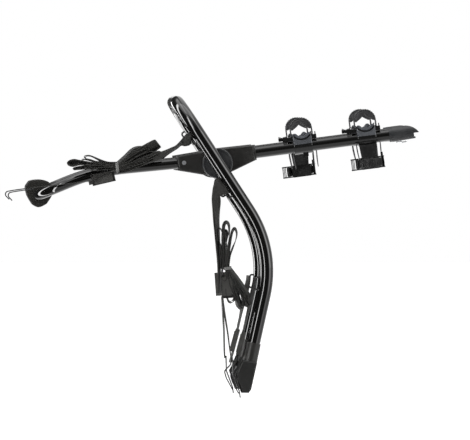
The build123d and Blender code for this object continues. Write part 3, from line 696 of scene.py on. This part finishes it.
def woven(line, halves, thickness):
    """A band of webbing: its middle line, and at each point the vector from there to its edge."""
    shape = bmesh.new()
    uv = shape.loops.layers.uv.new("band")
    lengths = distances(line)
    thick = thickness / 2
    thin = thick * 0.9
    profile = [(-1, 0), (-0.97, -thick), (-0.5, -thin), (0, -thin), (0.5, -thin), (0.97, -thick)]
    profile += [(1, 0), (0.97, thick), (0.5, thin), (0, thin), (-0.5, thin), (-0.97, thick)]
    rings = []
    for index, (spot, half) in enumerate(zip(line, halves)):
        normal = step_across(line, index).cross(half).normalized()
        rings.append([shape.verts.new(spot + half * a + normal * b) for a, b in profile])
    size = len(profile)
    for index in range(len(rings) - 1):
        for step in range(size):
            following = (step + 1) % size
            near, far = rings[index], rings[index + 1]
            face = shape.faces.new((near[step], near[following], far[following], far[step]))
            ups = [profile[place][0] * halves[0].length for place in (step, following, following, step)]
            longs = (lengths[index], lengths[index], lengths[index + 1], lengths[index + 1])
            for corner, along, across in zip(face.loops, longs, ups):
                corner[uv].uv = (along, across)
    shape.faces.new(rings[0][::-1])
    shape.faces.new(rings[-1])
    bmesh.ops.recalc_face_normals(shape, faces=shape.faces)
    return mesh_from(shape)


def band_mesh(points, width, thickness, twists=(0.0, 0.0), spacing=STEP):
    line = smooth_line(points, spacing)
    travelled = distances(line)
    halves = []
    for index, distance in enumerate(travelled):
        ahead = step_across(line, index).normalized()
        across = Vector((0, 1, 0)) - ahead * ahead.y
        share = distance / travelled[-1] * (len(twists) - 1)
        low = min(int(share), len(twists) - 2)
        angle = twists[low] + (twists[low + 1] - twists[low]) * (share - low)
        halves.append(Matrix.Rotation(math.radians(angle), 3, ahead) @ across.normalized() * (width / 2))
    return woven(line, halves, thickness)


def joined(meshes):
    """Several meshes as one."""
    shape = bmesh.new()
    for mesh in meshes:
        shape.from_mesh(mesh)
    return mesh_from(shape)


print("bands are ready")

# %% [markdown]
# ## Cushions
# A bicycle tube lies in a round dip lined with soft rubber, with fine ribs across that grip it.
# The cushion is a side-view outline: its lower arc fits the seat, and the dip has four shallow
# grooves, with half a groove at each rim.
# Towards both sides the arc is raised a little, which leaves the dark gap line round the cushion.

# %% Cushions
CUSHION_HALF, CUSHION_LOW, CUSHION_RIM, CUSHION_HUMP = 24.0, 18.05, 31.05, 35.5
DIP_RADIUS, DIP_HEIGHT, GROOVE_DEPTH = 17, 43.5, 0.55
SEAT_HALF_WIDTH, HEAD_HALF_WIDTH = 19.9, 15.9
SIDE_LAYER, SIDE_LIFT = 8.0, 2.8


def cushion_outline(lift):
    depth = CUSHION_RIM - CUSHION_LOW
    radius = (CUSHION_HALF**2 + depth**2) / (2 * depth)
    spread = math.asin(CUSHION_HALF / radius)
    outline = []
    for step in range(21):
        angle = -spread + 2 * spread * step / 20
        lifted = radius - lift
        outline.append((lifted * math.sin(angle), CUSHION_LOW + radius - lifted * math.cos(angle)))
    outline += [(21.8, 34.4), (20.2, 35.4), (18.0, CUSHION_HUMP), (16.2, 35.2)]
    for step in range(49):
        angle = math.radians(58 - 116 * step / 48)
        dip = DIP_RADIUS + GROOVE_DEPTH * max(0.0, math.cos(step / 48 * 10 * math.pi)) ** 2
        outline.append((dip * math.sin(angle), DIP_HEIGHT - dip * math.cos(angle)))
    outline += [(-16.2, 35.2), (-18.0, CUSHION_HUMP), (-20.2, 35.4), (-21.8, 34.4)]
    return outline


def cushion(name, matrix, half_width, side, body, material):
    inner = half_width - SIDE_LAYER
    meshes = [outline_mesh(cushion_outline(0.0), -inner, inner, 0.0, matrix)]
    for low, high in ((-half_width, -inner), (inner, half_width)):
        meshes.append(outline_mesh(cushion_outline(SIDE_LIFT), low, high, 0.5, matrix))
    return finished(name, joined(meshes), side, material, body, smooth=False)


cushion_count = 0
for side in SIDES:
    for seat, reach in CRADLE_REACH.items():
        swivels = SWIVELS[side] == seat
        body = f"sway_{side}" if swivels else f"arm_{side}"
        node = f"cushion_{seat}_{side}"
        place = arm_matrix(reach)
        piece = cushion(f"seat_{node}", place, SEAT_HALF_WIDTH, side, body, CUSHION)
        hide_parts(node)
        cushion_count += 1
        if swivels:
            place = place @ HEAD_TURN
            head = cushion(f"head_{node}", place, HEAD_HALF_WIDTH, side, body, HEAD_RUBBER)
            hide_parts(node)
            cushion_count += 1
print("cushions:", cushion_count)

# %% [markdown]
# ## Ratchet straps
# Each strap is a rubber band bent to an arch, with ribs across its back and a thick pad moulded
# under its crown. Its left end turns on the comb's pin, and its right end, with a row of teeth,
# goes into the peg.
# The pad's underside is a pointed vault, which centres a bicycle tube.

# %% Ratchet straps
PIN = (-33.5, 23.0)
ARCH_RADIUS, ARCH_HEIGHT, ARCH_PAD_RADIUS = 28, 46.5, 26.9
TOOTH_PITCH, TOOTH_START, TOOTH_HALF = 3.6, 20.5, 8.5
RIB = [(-1.1, 29.2), (1.1, 29.2), (0.8, 30.4), (-0.8, 30.4)]
EYE_INNER, EYE_OUTER, EYE_HALF = 2.7, 5.4, 11.9
CROWN_PAD_HALF, CROWN_PAD_EDGE = 11.2, 1.2
STRAP_WIDTH, STRAP_THICK, STRAP_STEP = 0.024, 0.003, 0.003


def arch_line():
    points = [PIN, (-31.2, 26.2), (-28.3, 29.5), (-28.0, 38.0)]
    for step in range(17):
        angle = math.radians(180 - 180 * step / 16)
        points.append((ARCH_RADIUS * math.cos(angle), ARCH_HEIGHT + ARCH_RADIUS * math.sin(angle)))
    points += [(28.0, 38.0), (28.0, 27.0), (28.0, 18.6)]
    return [Vector((x * MM, 0, z * MM)) for x, z in points]


def pad_outline():
    outline = []
    for step in range(25):
        angle = math.radians(176 - 172 * step / 24)
        height = ARCH_HEIGHT + ARCH_PAD_RADIUS * math.sin(angle)
        outline.append((ARCH_PAD_RADIUS * math.cos(angle), height))
    outline += [(26.6, 45.0), (24.0, 44.2), (20.5, 45.6)]
    shares = [step / 8 for step in range(9)]
    vault = [(19.0 * (1 - s), 47.0 + 15.6 * s - 1.6 * math.sin(math.pi * s)) for s in shares]
    outline += vault + [(-x, z) for x, z in vault[-2::-1]]
    outline += [(-20.5, 45.6), (-24.0, 44.2), (-26.6, 45.0)]
    return outline


def ratchet_strap(name, matrix, side, body, material):
    band = band_mesh(arch_line(), STRAP_WIDTH, STRAP_THICK, spacing=STRAP_STEP)
    band.transform(matrix)
    eye = ring_mesh(PIN, EYE_INNER, EYE_OUTER, EYE_HALF)
    eye.transform(matrix)
    pad = outline_mesh(pad_outline(), -CROWN_PAD_HALF, CROWN_PAD_HALF, CROWN_PAD_EDGE, matrix)
    meshes = [band, pad, eye]
    for step in range(6):
        low = TOOTH_START + step * TOOTH_PITCH
        tooth = [(29.3, low), (30.5, low + 0.4), (30.5, low + 1.3), (29.3, low + 2.2)]
        meshes.append(outline_mesh(tooth, -TOOTH_HALF, TOOTH_HALF, 0.0, matrix))
    crown = matrix @ Matrix.Translation((0, 0, ARCH_HEIGHT * MM))
    for step in range(13):
        lean = Matrix.Rotation(math.radians(-72 + 12 * step), 4, "Y")
        meshes.append(outline_mesh(RIB, -TOOTH_HALF, TOOTH_HALF, 0.0, crown @ lean))
    return finished(name, joined(meshes), side, material, body)


def close_rings(shape, rings):
    """Faces between neighbouring rings of points, all the way round."""
    size = len(rings[0])
    for step, first in enumerate(rings):
        second = rings[(step + 1) % len(rings)]
        for index in range(size):
            following = (index + 1) % size
            shape.faces.new((first[index], second[index], second[following], first[following]))
    bmesh.ops.recalc_face_normals(shape, faces=shape.faces)


def ring_mesh(centre, inner, outer, half_width):
    """A short sleeve along Y round a side-view point."""
    shape = bmesh.new()
    rings = []
    profile = [(inner, -1), (outer - 0.6, -1), (outer, -0.94), (outer, 0.94), (outer - 0.6, 1), (inner, 1)]
    for step in range(24):
        angle = 2 * math.pi * step / 24
        ring = []
        for radius, place in profile:
            x = centre[0] + radius * math.cos(angle)
            z = centre[1] + radius * math.sin(angle)
            ring.append(shape.verts.new((x * MM, place * half_width * MM, z * MM)))
        rings.append(ring)
    close_rings(shape, rings)
    return mesh_from(shape)


strap_count = 0
for side in SIDES:
    for seat, reach in CRADLE_REACH.items():
        name, body = f"ratchet_strap_{seat}_{side}", f"strap_{seat}_{side}"
        strap = ratchet_strap(name, arm_matrix(reach), side, body, STRAP_RUBBER)
        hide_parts(f"cradle_strap_{seat}_{side}")
        strap_count += 1
    place = arm_matrix(CRADLE_REACH[SWIVELS[side]]) @ HEAD_TURN
    strap = ratchet_strap(f"ratchet_strap_sway_{side}", place, side, f"strap_sway_{side}", HEAD_RUBBER)
    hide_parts(f"sway_strap_{side}")
    strap_count += 1
print("ratchet straps:", strap_count)

# %% [markdown]
# The spare ends of the straps hang below the seats as thin rubber tails.
# Each is a curved band, 13.5 mm wide, that hangs a little away from straight.

# %% Strap tails
TAIL_Y, TAIL_WIDTH, TAIL_THICK = 24.4, 0.0135, 0.0019


def tail(reach, matrix, bend):
    points = [(reach, 16.9), (reach + 0.3, 2.0), (reach - bend, -18.0)]
    points += [(reach - bend * 0.6, -38.0), (reach + 1.2, -58.6)]
    line = [Vector((x * MM, TAIL_Y * MM, z * MM)) for x, z in points]
    mesh = band_mesh(line, TAIL_WIDTH, TAIL_THICK, (0, 6, 10, 4), spacing=0.004)
    mesh.transform(matrix)
    return mesh


for side in SIDES:
    for seat, reach in CRADLE_REACH.items():
        body = f"sway_{side}" if SWIVELS[side] == seat else f"arm_{side}"
        name = f"hanging_tails_{seat}_{side}"
        place = arm_matrix(reach)
        mesh = joined([tail(-26.1, place, 2.2), tail(33.0, place, -1.6)])
        piece = finished(name, mesh, side, STRAP_RUBBER, body)
        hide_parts(f"strap_tails_{seat}_{side}")
print("strap tails: 4 pairs")

# %% [markdown]
# ## Foam pads
# Two shield-shaped foam blocks sleeve the crossbar and lean on the vehicle.
# Foam bulges softly between its cut ends, so each block is blown up a little by cloth pressure
# from a slightly smaller start, and then smoothed by one subdivision.

# %% Foam pad by cloth pressure
START_SHARE, FOAM_HALF, FOAM_EDGE, FOAM_LIFT, FOAM_VOXEL = 0.95, 42.0, 2.5, 0.002, 0.0042
SWELL_LIMIT, SWELL_FRAMES = 0.0035, 20
PAD_CENTRE = Vector([(a + b) / 2 for a, b in zip(*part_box("foam_pad_left"))])


def shield_outline(grow):
    """Side view of the foam: wide and nearly flat on top, a blunt point at the bottom."""
    corners = [
        (-25.2, 36.2), (-10, 39.2), (5.4, 39.7), (19, 37.6), (29.3, 33.1), (38.9, 20.1), (39.6, 8),
        (38.1, -3.9), (22.8, -27.9), (6, -36.6), (-3.4, -37.9), (-16.4, -30.1), (-31.7, -3.9), (-36.9, 20.1),
    ]
    return [(x * grow, z * grow) for x, z in corners]


def foam_start(name):
    """A slightly small, rounded block in place, remeshed to even quads."""
    centre = PAD_CENTRE + Vector((0, 0, FOAM_LIFT))
    outline = shield_outline(START_SHARE)
    mesh = outline_mesh(outline, -FOAM_HALF, FOAM_HALF, FOAM_EDGE, Matrix.Translation(centre))
    block = bpy.data.objects.new(name, mesh)
    bpy.context.scene.collection.objects.link(block)
    remesh = block.modifiers.new("even", "REMESH")
    remesh.mode = "VOXEL"
    remesh.voxel_size = FOAM_VOXEL
    settle(block)
    return block


def settle(piece):
    """Turn the modifiers' result into the piece's own mesh."""
    graph = bpy.context.evaluated_depsgraph_get()
    shown = piece.evaluated_get(graph)
    mesh = bpy.data.meshes.new_from_object(shown)
    piece.modifiers.clear()
    piece.data = mesh


def blow_up(piece, cap):
    """Cloth pressure for a few frames, and no point moves further than cap."""
    scene = bpy.context.scene
    before = [vertex.co.copy() for vertex in piece.data.vertices]
    cloth = piece.modifiers.new("cloth", "CLOTH")
    cloth.settings.use_pressure = True
    cloth.settings.uniform_pressure_force = 4.0
    cloth.settings.effector_weights.gravity = 0.0
    cloth.settings.tension_stiffness = 40.0
    cloth.settings.compression_stiffness = 40.0
    cloth.settings.bending_stiffness = 8.0
    for number in range(1, SWELL_FRAMES + 1):
        scene.frame_set(number)
    settle(piece)
    scene.frame_set(1)
    for vertex, start in zip(piece.data.vertices, before):
        move = vertex.co - start
        if move.length > cap:
            vertex.co = start + move.normalized() * cap


# %% [markdown]
# Its place stays that of the CAD block, so it rides on the pad frame and replaces that node.

# %% Both foam pads
def foam_pad(side):
    pad = foam_start(f"foam_block_{side}")
    blow_up(pad, SWELL_LIMIT)
    smooth = pad.modifiers.new("smooth", "SUBSURF")
    smooth.levels = smooth.render_levels = 1
    settle(pad)
    mesh = pad.data
    bpy.data.objects.remove(pad)
    mesh.materials.clear()
    piece = finished(f"foam_cushion_{side}", mesh, side, FOAM, "pad_frame")
    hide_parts(f"foam_pad_{side}")
    return piece


for side in SIDES:
    pad = foam_pad(side)
    print(pad.name, "faces:", len(pad.data.polygons))

# %% [markdown]
# ## Webbing
# Every strap is flat woven band. Spare length is folded into loops that a rubber ring holds.
# Points are read as side-view millimetres from the hub, and the sideways place changes a little
# from loop to loop, as it does in a real folded bundle.
# A loop is seen almost edge-on, so it is turned by 6 to 26 degrees, one way going out and the
# other way coming back. Neighbouring strands then lie like the slats of a blind.

# %% Band helpers
WEB, WEB_THICK = 0.025, 0.0017
RUN_WIDTH, RUN_THICK = 0.0245, 0.0018
SIDE_FOLD_WIDTH = 0.018
FOLD_STEP, RIBBON_STEP = 0.0022, 0.003
TIE_THICK = 1.1
UPPER_HOOK, UPPER_REACH = 0.484, 0.15
FOOT_HOOK, FOOT_REACH = 0.515, 0.17


def run(points, y, width, thickness=WEB_THICK, twists=(0.0, 0.0), spacing=STEP):
    """A band along side-view points."""
    line = [from_hub(x, z, y) for x, z in points]
    return band_mesh(line, width, thickness, twists, spacing)


def bundle(strands, shifts, y, width):
    """Loops of spare band, each out along one strand, round a tight end and back.

    A strand has its points, its turn and the turn of its tip; a shift moves it sideways."""
    loops = []
    for (points, turn, tip_turn), shift in zip(strands, shifts):
        twists = (turn, turn, tip_turn, -turn, -turn)
        loops.append(run(points, y + shift, width, twists=twists, spacing=FOLD_STEP))
    return loops


def ribbon(stations, thickness=WEB_THICK):
    """A band given by its two edges in side view: x and z of each, then the middle's y in metres.

    What the side view doesn't show of the real width goes sideways, so the band keeps its width."""
    firsts, seconds = [], []
    for first_x, first_z, second_x, second_z, y in stations:
        seen = math.hypot(second_x - first_x, second_z - first_z) * MM
        sideways = math.sqrt(max(0.0, WEB * WEB - seen * seen)) / 2
        firsts.append(from_hub(first_x, first_z, y - sideways))
        seconds.append(from_hub(second_x, second_z, y + sideways))
    middles = [(first + second) / 2 for first, second in zip(firsts, seconds)]
    counts = [max(2, round((b - a).length / RIBBON_STEP)) for a, b in zip(middles, middles[1:])]
    firsts, seconds = smooth_line(firsts, counts=counts), smooth_line(seconds, counts=counts)
    line = [(first + second) / 2 for first, second in zip(firsts, seconds)]
    halves = [(second - first) / 2 for first, second in zip(firsts, seconds)]
    return woven(line, halves, thickness)


def share_upper(spot):
    """0 at the hook and 1 from 150 mm nearer the hub: how much of the set-back applies."""
    return min(1.0, max(0.0, (spot.x - HUB.x + UPPER_HOOK) / UPPER_REACH))


def share_side(spot):
    """0 at the foot's hook and 1 from 170 mm above it."""
    return min(1.0, max(0.0, (spot.z - HUB.z + FOOT_HOOK) / FOOT_REACH))


def set_back(mesh, side, share):
    """Let the right-hand webbing hang exactly behind the left-hand one, as the camera sees it."""
    if side == "right":
        for vertex in mesh.vertices:
            amount = share(vertex.co) * 2 * abs(vertex.co.y)
            vertex.co.x += math.tan(VIEW_TURN) * amount
            vertex.co.z -= math.tan(VIEW_RISE) * amount


def strap_piece(name, meshes, side, node, share=None):
    mesh = joined(meshes)
    if share:
        set_back(mesh, side, share)
    piece = finished(name, mesh, side, WEBBING, None)
    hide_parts(node)
    return piece


def tie_ring(name, centre, lean, half_length, half_height, y, half_width, side, body):
    """Rubber ring round a bundle: a rounded rectangle loop, thick and a little uneven."""
    shape = bmesh.new()
    rings = []
    ahead = Vector((math.cos(math.radians(lean)), 0, math.sin(math.radians(lean))))
    up = Vector((-ahead.z, 0, ahead.x))
    middle = from_hub(*centre, y)
    for step in range(32):
        angle = 2 * math.pi * step / 32
        out = abs(math.cos(angle)) ** 0.5 * math.copysign(1, math.cos(angle))
        high = abs(math.sin(angle)) ** 0.5 * math.copysign(1, math.sin(angle))
        ring = []
        for along, thick in ((-1, 0), (-0.8, 1), (0.8, 1), (1, 0), (0.8, -0.6), (-0.8, -0.6)):
            sideways = Vector((0, (half_width + thick * TIE_THICK) * MM * out, 0))
            upwards = up * (half_height + thick * TIE_THICK) * MM * high
            lengthways = ahead * along * half_length * MM
            ring.append(shape.verts.new(middle + lengthways + sideways + upwards))
        rings.append(ring)
    close_rings(shape, rings)
    mesh = mesh_from(shape)
    set_back(mesh, side, lambda spot: 1.0)
    return finished(name, mesh, side, TIE, body)


print("band helpers are ready")

# %% [markdown]
# The upper strap leaves its staple as a folded leaf, narrows to a neck and ends in a bundle.
# The bundle's folds fan out on both sides of the ring, then one band goes on to the hook.
# The leaf follows the leg and the rest the pad frame.

# %% Upper straps
UPPER_Y = -0.2121


def upper_meshes():
    y = UPPER_Y
    leaf = [
        (-66, 79, -76, 50, -0.2435), (-76, 81, -84, 48, -0.2440), (-87, 74, -91, 47.5, -0.2435),
        (-98, 60, -98.5, 49, -0.2410), (-110, 47.5, -108, 41, -0.2360), (-123, 41, -119.5, 33.5, -0.2300),
        (-137, 35, -133, 24, -0.2240), (-151, 30, -145, 14, -0.2190), (-166, 24, -158, 7, -0.2160),
        (-190, 13, -186, -2, -0.2135), (-225, 0, -222, -15, y), (-262, -11, -262, -24, y),
    ]
    back = [
        (-62, 76, -66, 58, -0.2370), (-72, 80, -74, 52, -0.2360), (-84, 75, -86, 50, -0.2370),
        (-98, 58, -99, 50, -0.2385),
    ]
    meshes = [ribbon(leaf), ribbon(back)]
    wide = [
        (-262, -2, -262, -16, -0.2135), (-240, 16, -230, 2, -0.2150), (-215, 36, -202, 20, -0.2165),
        (-192, 50, -177, 32, -0.2170), (-173, 60, -159, 42, -0.2165), (-166.5, 62.5, -152.5, 45, -0.2140),
        (-165, 61.5, -151, 44, -0.2105), (-172, 56, -157, 39, -0.2085), (-192, 44, -178, 25, -0.2085),
        (-216, 30, -204, 14, -0.2090), (-240, 10, -232, -4, -0.2105), (-262, -6, -262, -18, -0.2115),
    ]
    meshes.append(ribbon(wide))
    hub_folds = [
        [(-263, 1), (-243, 19), (-223, 38), (-205, 44), (-188, 43), (-205, 36), (-226, 26), (-246, 7),
         (-263, -3)],
        [(-263, -2), (-238, 14), (-214, 30), (-192, 38), (-180, 36), (-196, 28), (-220, 16), (-242, 1),
         (-263, -7)],
        [(-263, -5), (-236, 8), (-208, 22), (-180, 31), (-168, 30), (-184, 20), (-212, 8), (-240, -4),
         (-263, -10)],
        [(-263, -8), (-234, 2), (-206, 14), (-176, 25), (-155, 32), (-149, 27), (-166, 17), (-200, 2),
         (-236, -9), (-263, -14)],
        [(-263, -12), (-232, -4), (-204, 5), (-176, 12), (-168, 9), (-186, 2), (-214, -8), (-240, -15),
         (-263, -18)],
        [(-263, -16), (-236, -10), (-210, -2), (-190, 1), (-196, -4), (-218, -12), (-242, -20), (-263, -23)],
    ]
    shifts = (0.0006, -0.0005, 0.0003, -0.0009, 0.0007, -0.0002)
    meshes += bundle([(points, 15.0, 0.0) for points in hub_folds], shifts, y, RUN_WIDTH)
    hook_folds = [
        ([(-265, 1), (-288, 1.5), (-307, 7), (-323, 14.5), (-338, 20.5), (-350, 19.5), (-349, 13.5),
          (-334, 9), (-318, 2.5), (-300, -4), (-265, -7)], 0),
        ([(-265, -3), (-298, 0), (-323, 4.5), (-343, 9.5), (-356, 11), (-354, 6), (-332, 0), (-300, -6),
          (-265, -9)], 0),
        ([(-265, -6), (-310, -2.5), (-345, 2), (-366, 4.5), (-379, 6), (-390.5, 1), (-382, -4), (-366, -1.5),
          (-340, -4), (-302, -9), (-265, -11)], 27),
        ([(-265, -9), (-316, -8), (-350, -8.5), (-368, -11), (-379, -14.5), (-366, -14.5), (-330, -13.5),
          (-265, -14)], 12),
        ([(-265, -12), (-298, -13), (-322, -15), (-334, -18.5), (-322, -19.5), (-298, -18.5),
          (-265, -17)], 0),
    ]
    shifts = (-0.0004, 0.0006, -0.0008, 0.0005, 0.0)
    meshes += bundle([(points, 11.0, tip_turn) for points, tip_turn in hook_folds], shifts, y, RUN_WIDTH)
    tail_line = [
        (-265, -17), (-290, -25), (-312, -34), (-330, -44), (-372, -51), (-430, -58), (-484, -64.2),
        (-494, -65.4),
    ]
    meshes.append(run(tail_line, y, RUN_WIDTH, RUN_THICK, (8, 4, 0, 0, 0)))
    return meshes


for side in SIDES:
    piece = strap_piece(f"upper_webbing_{side}", upper_meshes(), side, f"upper_strap_{side}", share_upper)
    start = from_hub(-84, 60, LEG_Y * SIGN[side])
    end = from_hub(-160, 20, UPPER_Y * SIGN[side])
    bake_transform(piece)
    tie_ring(f"upper_tie_{side}", (-264.5, -10.7), 6.0, 4.4, 13.4, UPPER_Y, 13.6, side, "pad_frame")
    print(piece.name, "faces:", len(piece.data.polygons))

# %% [markdown]
# The side strap is folded over its staple as a dark triangle and hangs as a slightly turned band.
# Beside it the spare length stands up in loops above the ring and falls in a fan of folds below.
# A single run, seen nearly on edge, goes on to the hook by the foot.

# %% Side straps
SIDE_RUN_Y, THIN_RUN_THICK = -0.2575, 0.0026


def side_meshes():
    y = LEG_Y
    near = [
        (12, -50, 34, -77, -0.2440), (4, -43, 24, -80, -0.2448), (-5, -46, 13, -83, -0.2448),
        (-12, -58, 7, -85, -0.2445), (-15, -76, 5.5, -90, -0.2440), (-16.5, -95, 4.5, -103, -0.2430),
        (-14.5, -122, 2.5, -125, -0.2420), (-12.8, -147, 0.8, -148, -0.2412),
        (-10.3, -172, 1.5, -173, -0.2408), (-7.6, -200, 3.0, -200, -0.2405), (-5.2, -225, 5.0, -225, -0.2405),
        (-2.0, -260, 7.0, -260, -0.2405), (-0.8, -300, 7.5, -300, -0.2405), (-0.4, -342, 7.5, -342, -0.2405),
    ]
    far = [
        (10, -42, 30, -68, -0.2360), (1, -38, 18, -64, -0.2352), (-8, -43, 6, -70, -0.2356),
        (-11, -58, 4, -80, -0.2362), (-11.5, -80, 7, -92, -0.2370), (-12, -100, 7.2, -106, -0.2380),
        (-10.5, -124, 5.0, -126, -0.2390), (-8.5, -150, 3.8, -150, -0.2394), (-6, -175, 4.5, -175, -0.2398),
        (-3, -205, 5.5, -205, -0.2402),
    ]
    meshes = [ribbon(near), ribbon(far)]
    above = [
        ([(17, -278), (13, -245), (12, -205), (14.2, -176), (16, -162), (22, -154.5), (28.5, -162),
          (30, -180), (29.2, -202), (26, -230), (22, -278)], 10, 26),
        ([(19, -278), (17.5, -240), (16.5, -200), (15.5, -186), (19.5, -178.5), (24, -186), (23, -205),
          (22, -240), (21, -278)], 16, 34),
        ([(13, -278), (8.5, -240), (3.5, -206), (-0.2, -182), (4.5, -171), (10.8, -180), (13.4, -196),
          (15, -232), (16, -278)], 7, 8),
        ([(24, -278), (25, -246), (29.5, -221), (34, -196), (38, -179), (44.5, -171.5), (49.8, -184),
          (47.2, -202), (38.5, -224), (31.5, -245), (27.5, -278)], 9, 20),
        ([(6, -278), (5, -250), (3.5, -226), (5.5, -213), (8.5, -226), (10, -250), (11, -278)], 10, 12),
        ([(22, -278), (26.5, -235), (32, -205), (36, -191), (35.5, -203), (31, -228), (27.5, -250),
          (25, -278)], 6, 6),
    ]
    shifts = (-0.0006, -0.0016, 0.0006, 0.0002, 0.0009, 0.0014)
    meshes += bundle(above, shifts, y, SIDE_FOLD_WIDTH)
    below = [
        ([(33, -279), (50, -300), (67, -324), (81, -347), (86, -370), (78, -362), (62, -336), (46, -308),
          (31, -279)], 22, 30),
        ([(31, -279), (46, -306), (58, -333), (67, -358), (66, -376), (57, -372), (53, -350), (43, -316),
          (29, -279)], 22, 20),
        ([(29, -279), (39, -308), (46, -336), (53, -357), (50, -362), (43, -345), (36, -318),
          (27, -279)], 24, 30),
        ([(33, -279), (54, -308), (70, -333), (79, -352), (74, -350), (60, -326), (46, -302),
          (32, -279)], 26, 40),
        ([(31, -280), (47, -306), (63, -332), (75, -356), (79, -373), (71, -369), (59, -345), (44, -317),
          (29, -280)], 24, 34),
        ([(29, -280), (41, -311), (51, -341), (59, -367), (60.5, -381), (53, -375), (45, -350), (34, -319),
          (26, -280)], 24, 26),
        ([(13, -272), (11, -288), (13, -304), (18, -308), (22, -302), (22, -288), (21, -272)], 14, 14),
        ([(27, -272), (26, -286), (25, -299), (28, -303), (31, -297), (30.5, -286), (30, -272)], 12, 12),
        ([(22, -330), (24, -350), (28.5, -364), (35.5, -367), (42.5, -361), (43.5, -351),
          (37, -344)], 13, 13),
    ]
    shifts = (0.0006, -0.0008, 0.0012, -0.0018, 0.0018, -0.0003, 0.0004, -0.0004, 0.0)
    meshes += bundle(below, shifts, y, SIDE_FOLD_WIDTH)
    thin = [(11, -352), (18, -400), (25, -443), (31, -490), (35.6, -522)]
    meshes.append(run(thin, SIDE_RUN_Y, RUN_WIDTH, THIN_RUN_THICK, (10, 8, 5, 2)))
    return meshes


for side in SIDES:
    piece = strap_piece(f"side_webbing_{side}", side_meshes(), side, f"side_strap_{side}", share_side)
    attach(piece, "frame")
    tie_ring(f"side_tie_{side}", (25.5, -276.5), 95.0, 4.0, 9.2, LEG_Y, 10.2, side, "frame")
    print(piece.name, "faces:", len(piece.data.polygons))

# %% [markdown]
# The lower strap is folded round its staple and runs behind the leg, through a buckle,
# to the flat hook at the foot.

# %% Lower straps
LOWER_Y = -0.229


def lower_meshes():
    wrap = [
        (93, -300, 103, -302), (91.5, -312, 102.5, -313), (88, -328, 100, -330), (84.5, -345, 96, -348),
        (80.5, -366, 90, -369), (76, -392, 82.5, -394), (72.5, -414, 77, -415.5), (68.5, -432, 73, -433),
        (66, -446, 70, -447),
    ]
    below = [(54.5, -503, 58.5, -504), (49.8, -518, 54, -519), (45.8, -533, 50, -534)]
    return [ribbon([(*edges, LOWER_Y) for edges in part], RUN_THICK) for part in (wrap, below)]


for side in SIDES:
    piece = strap_piece(f"lower_webbing_{side}", lower_meshes(), side, f"lower_strap_{side}")
    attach(piece, "frame")
    print(piece.name, "faces:", len(piece.data.polygons))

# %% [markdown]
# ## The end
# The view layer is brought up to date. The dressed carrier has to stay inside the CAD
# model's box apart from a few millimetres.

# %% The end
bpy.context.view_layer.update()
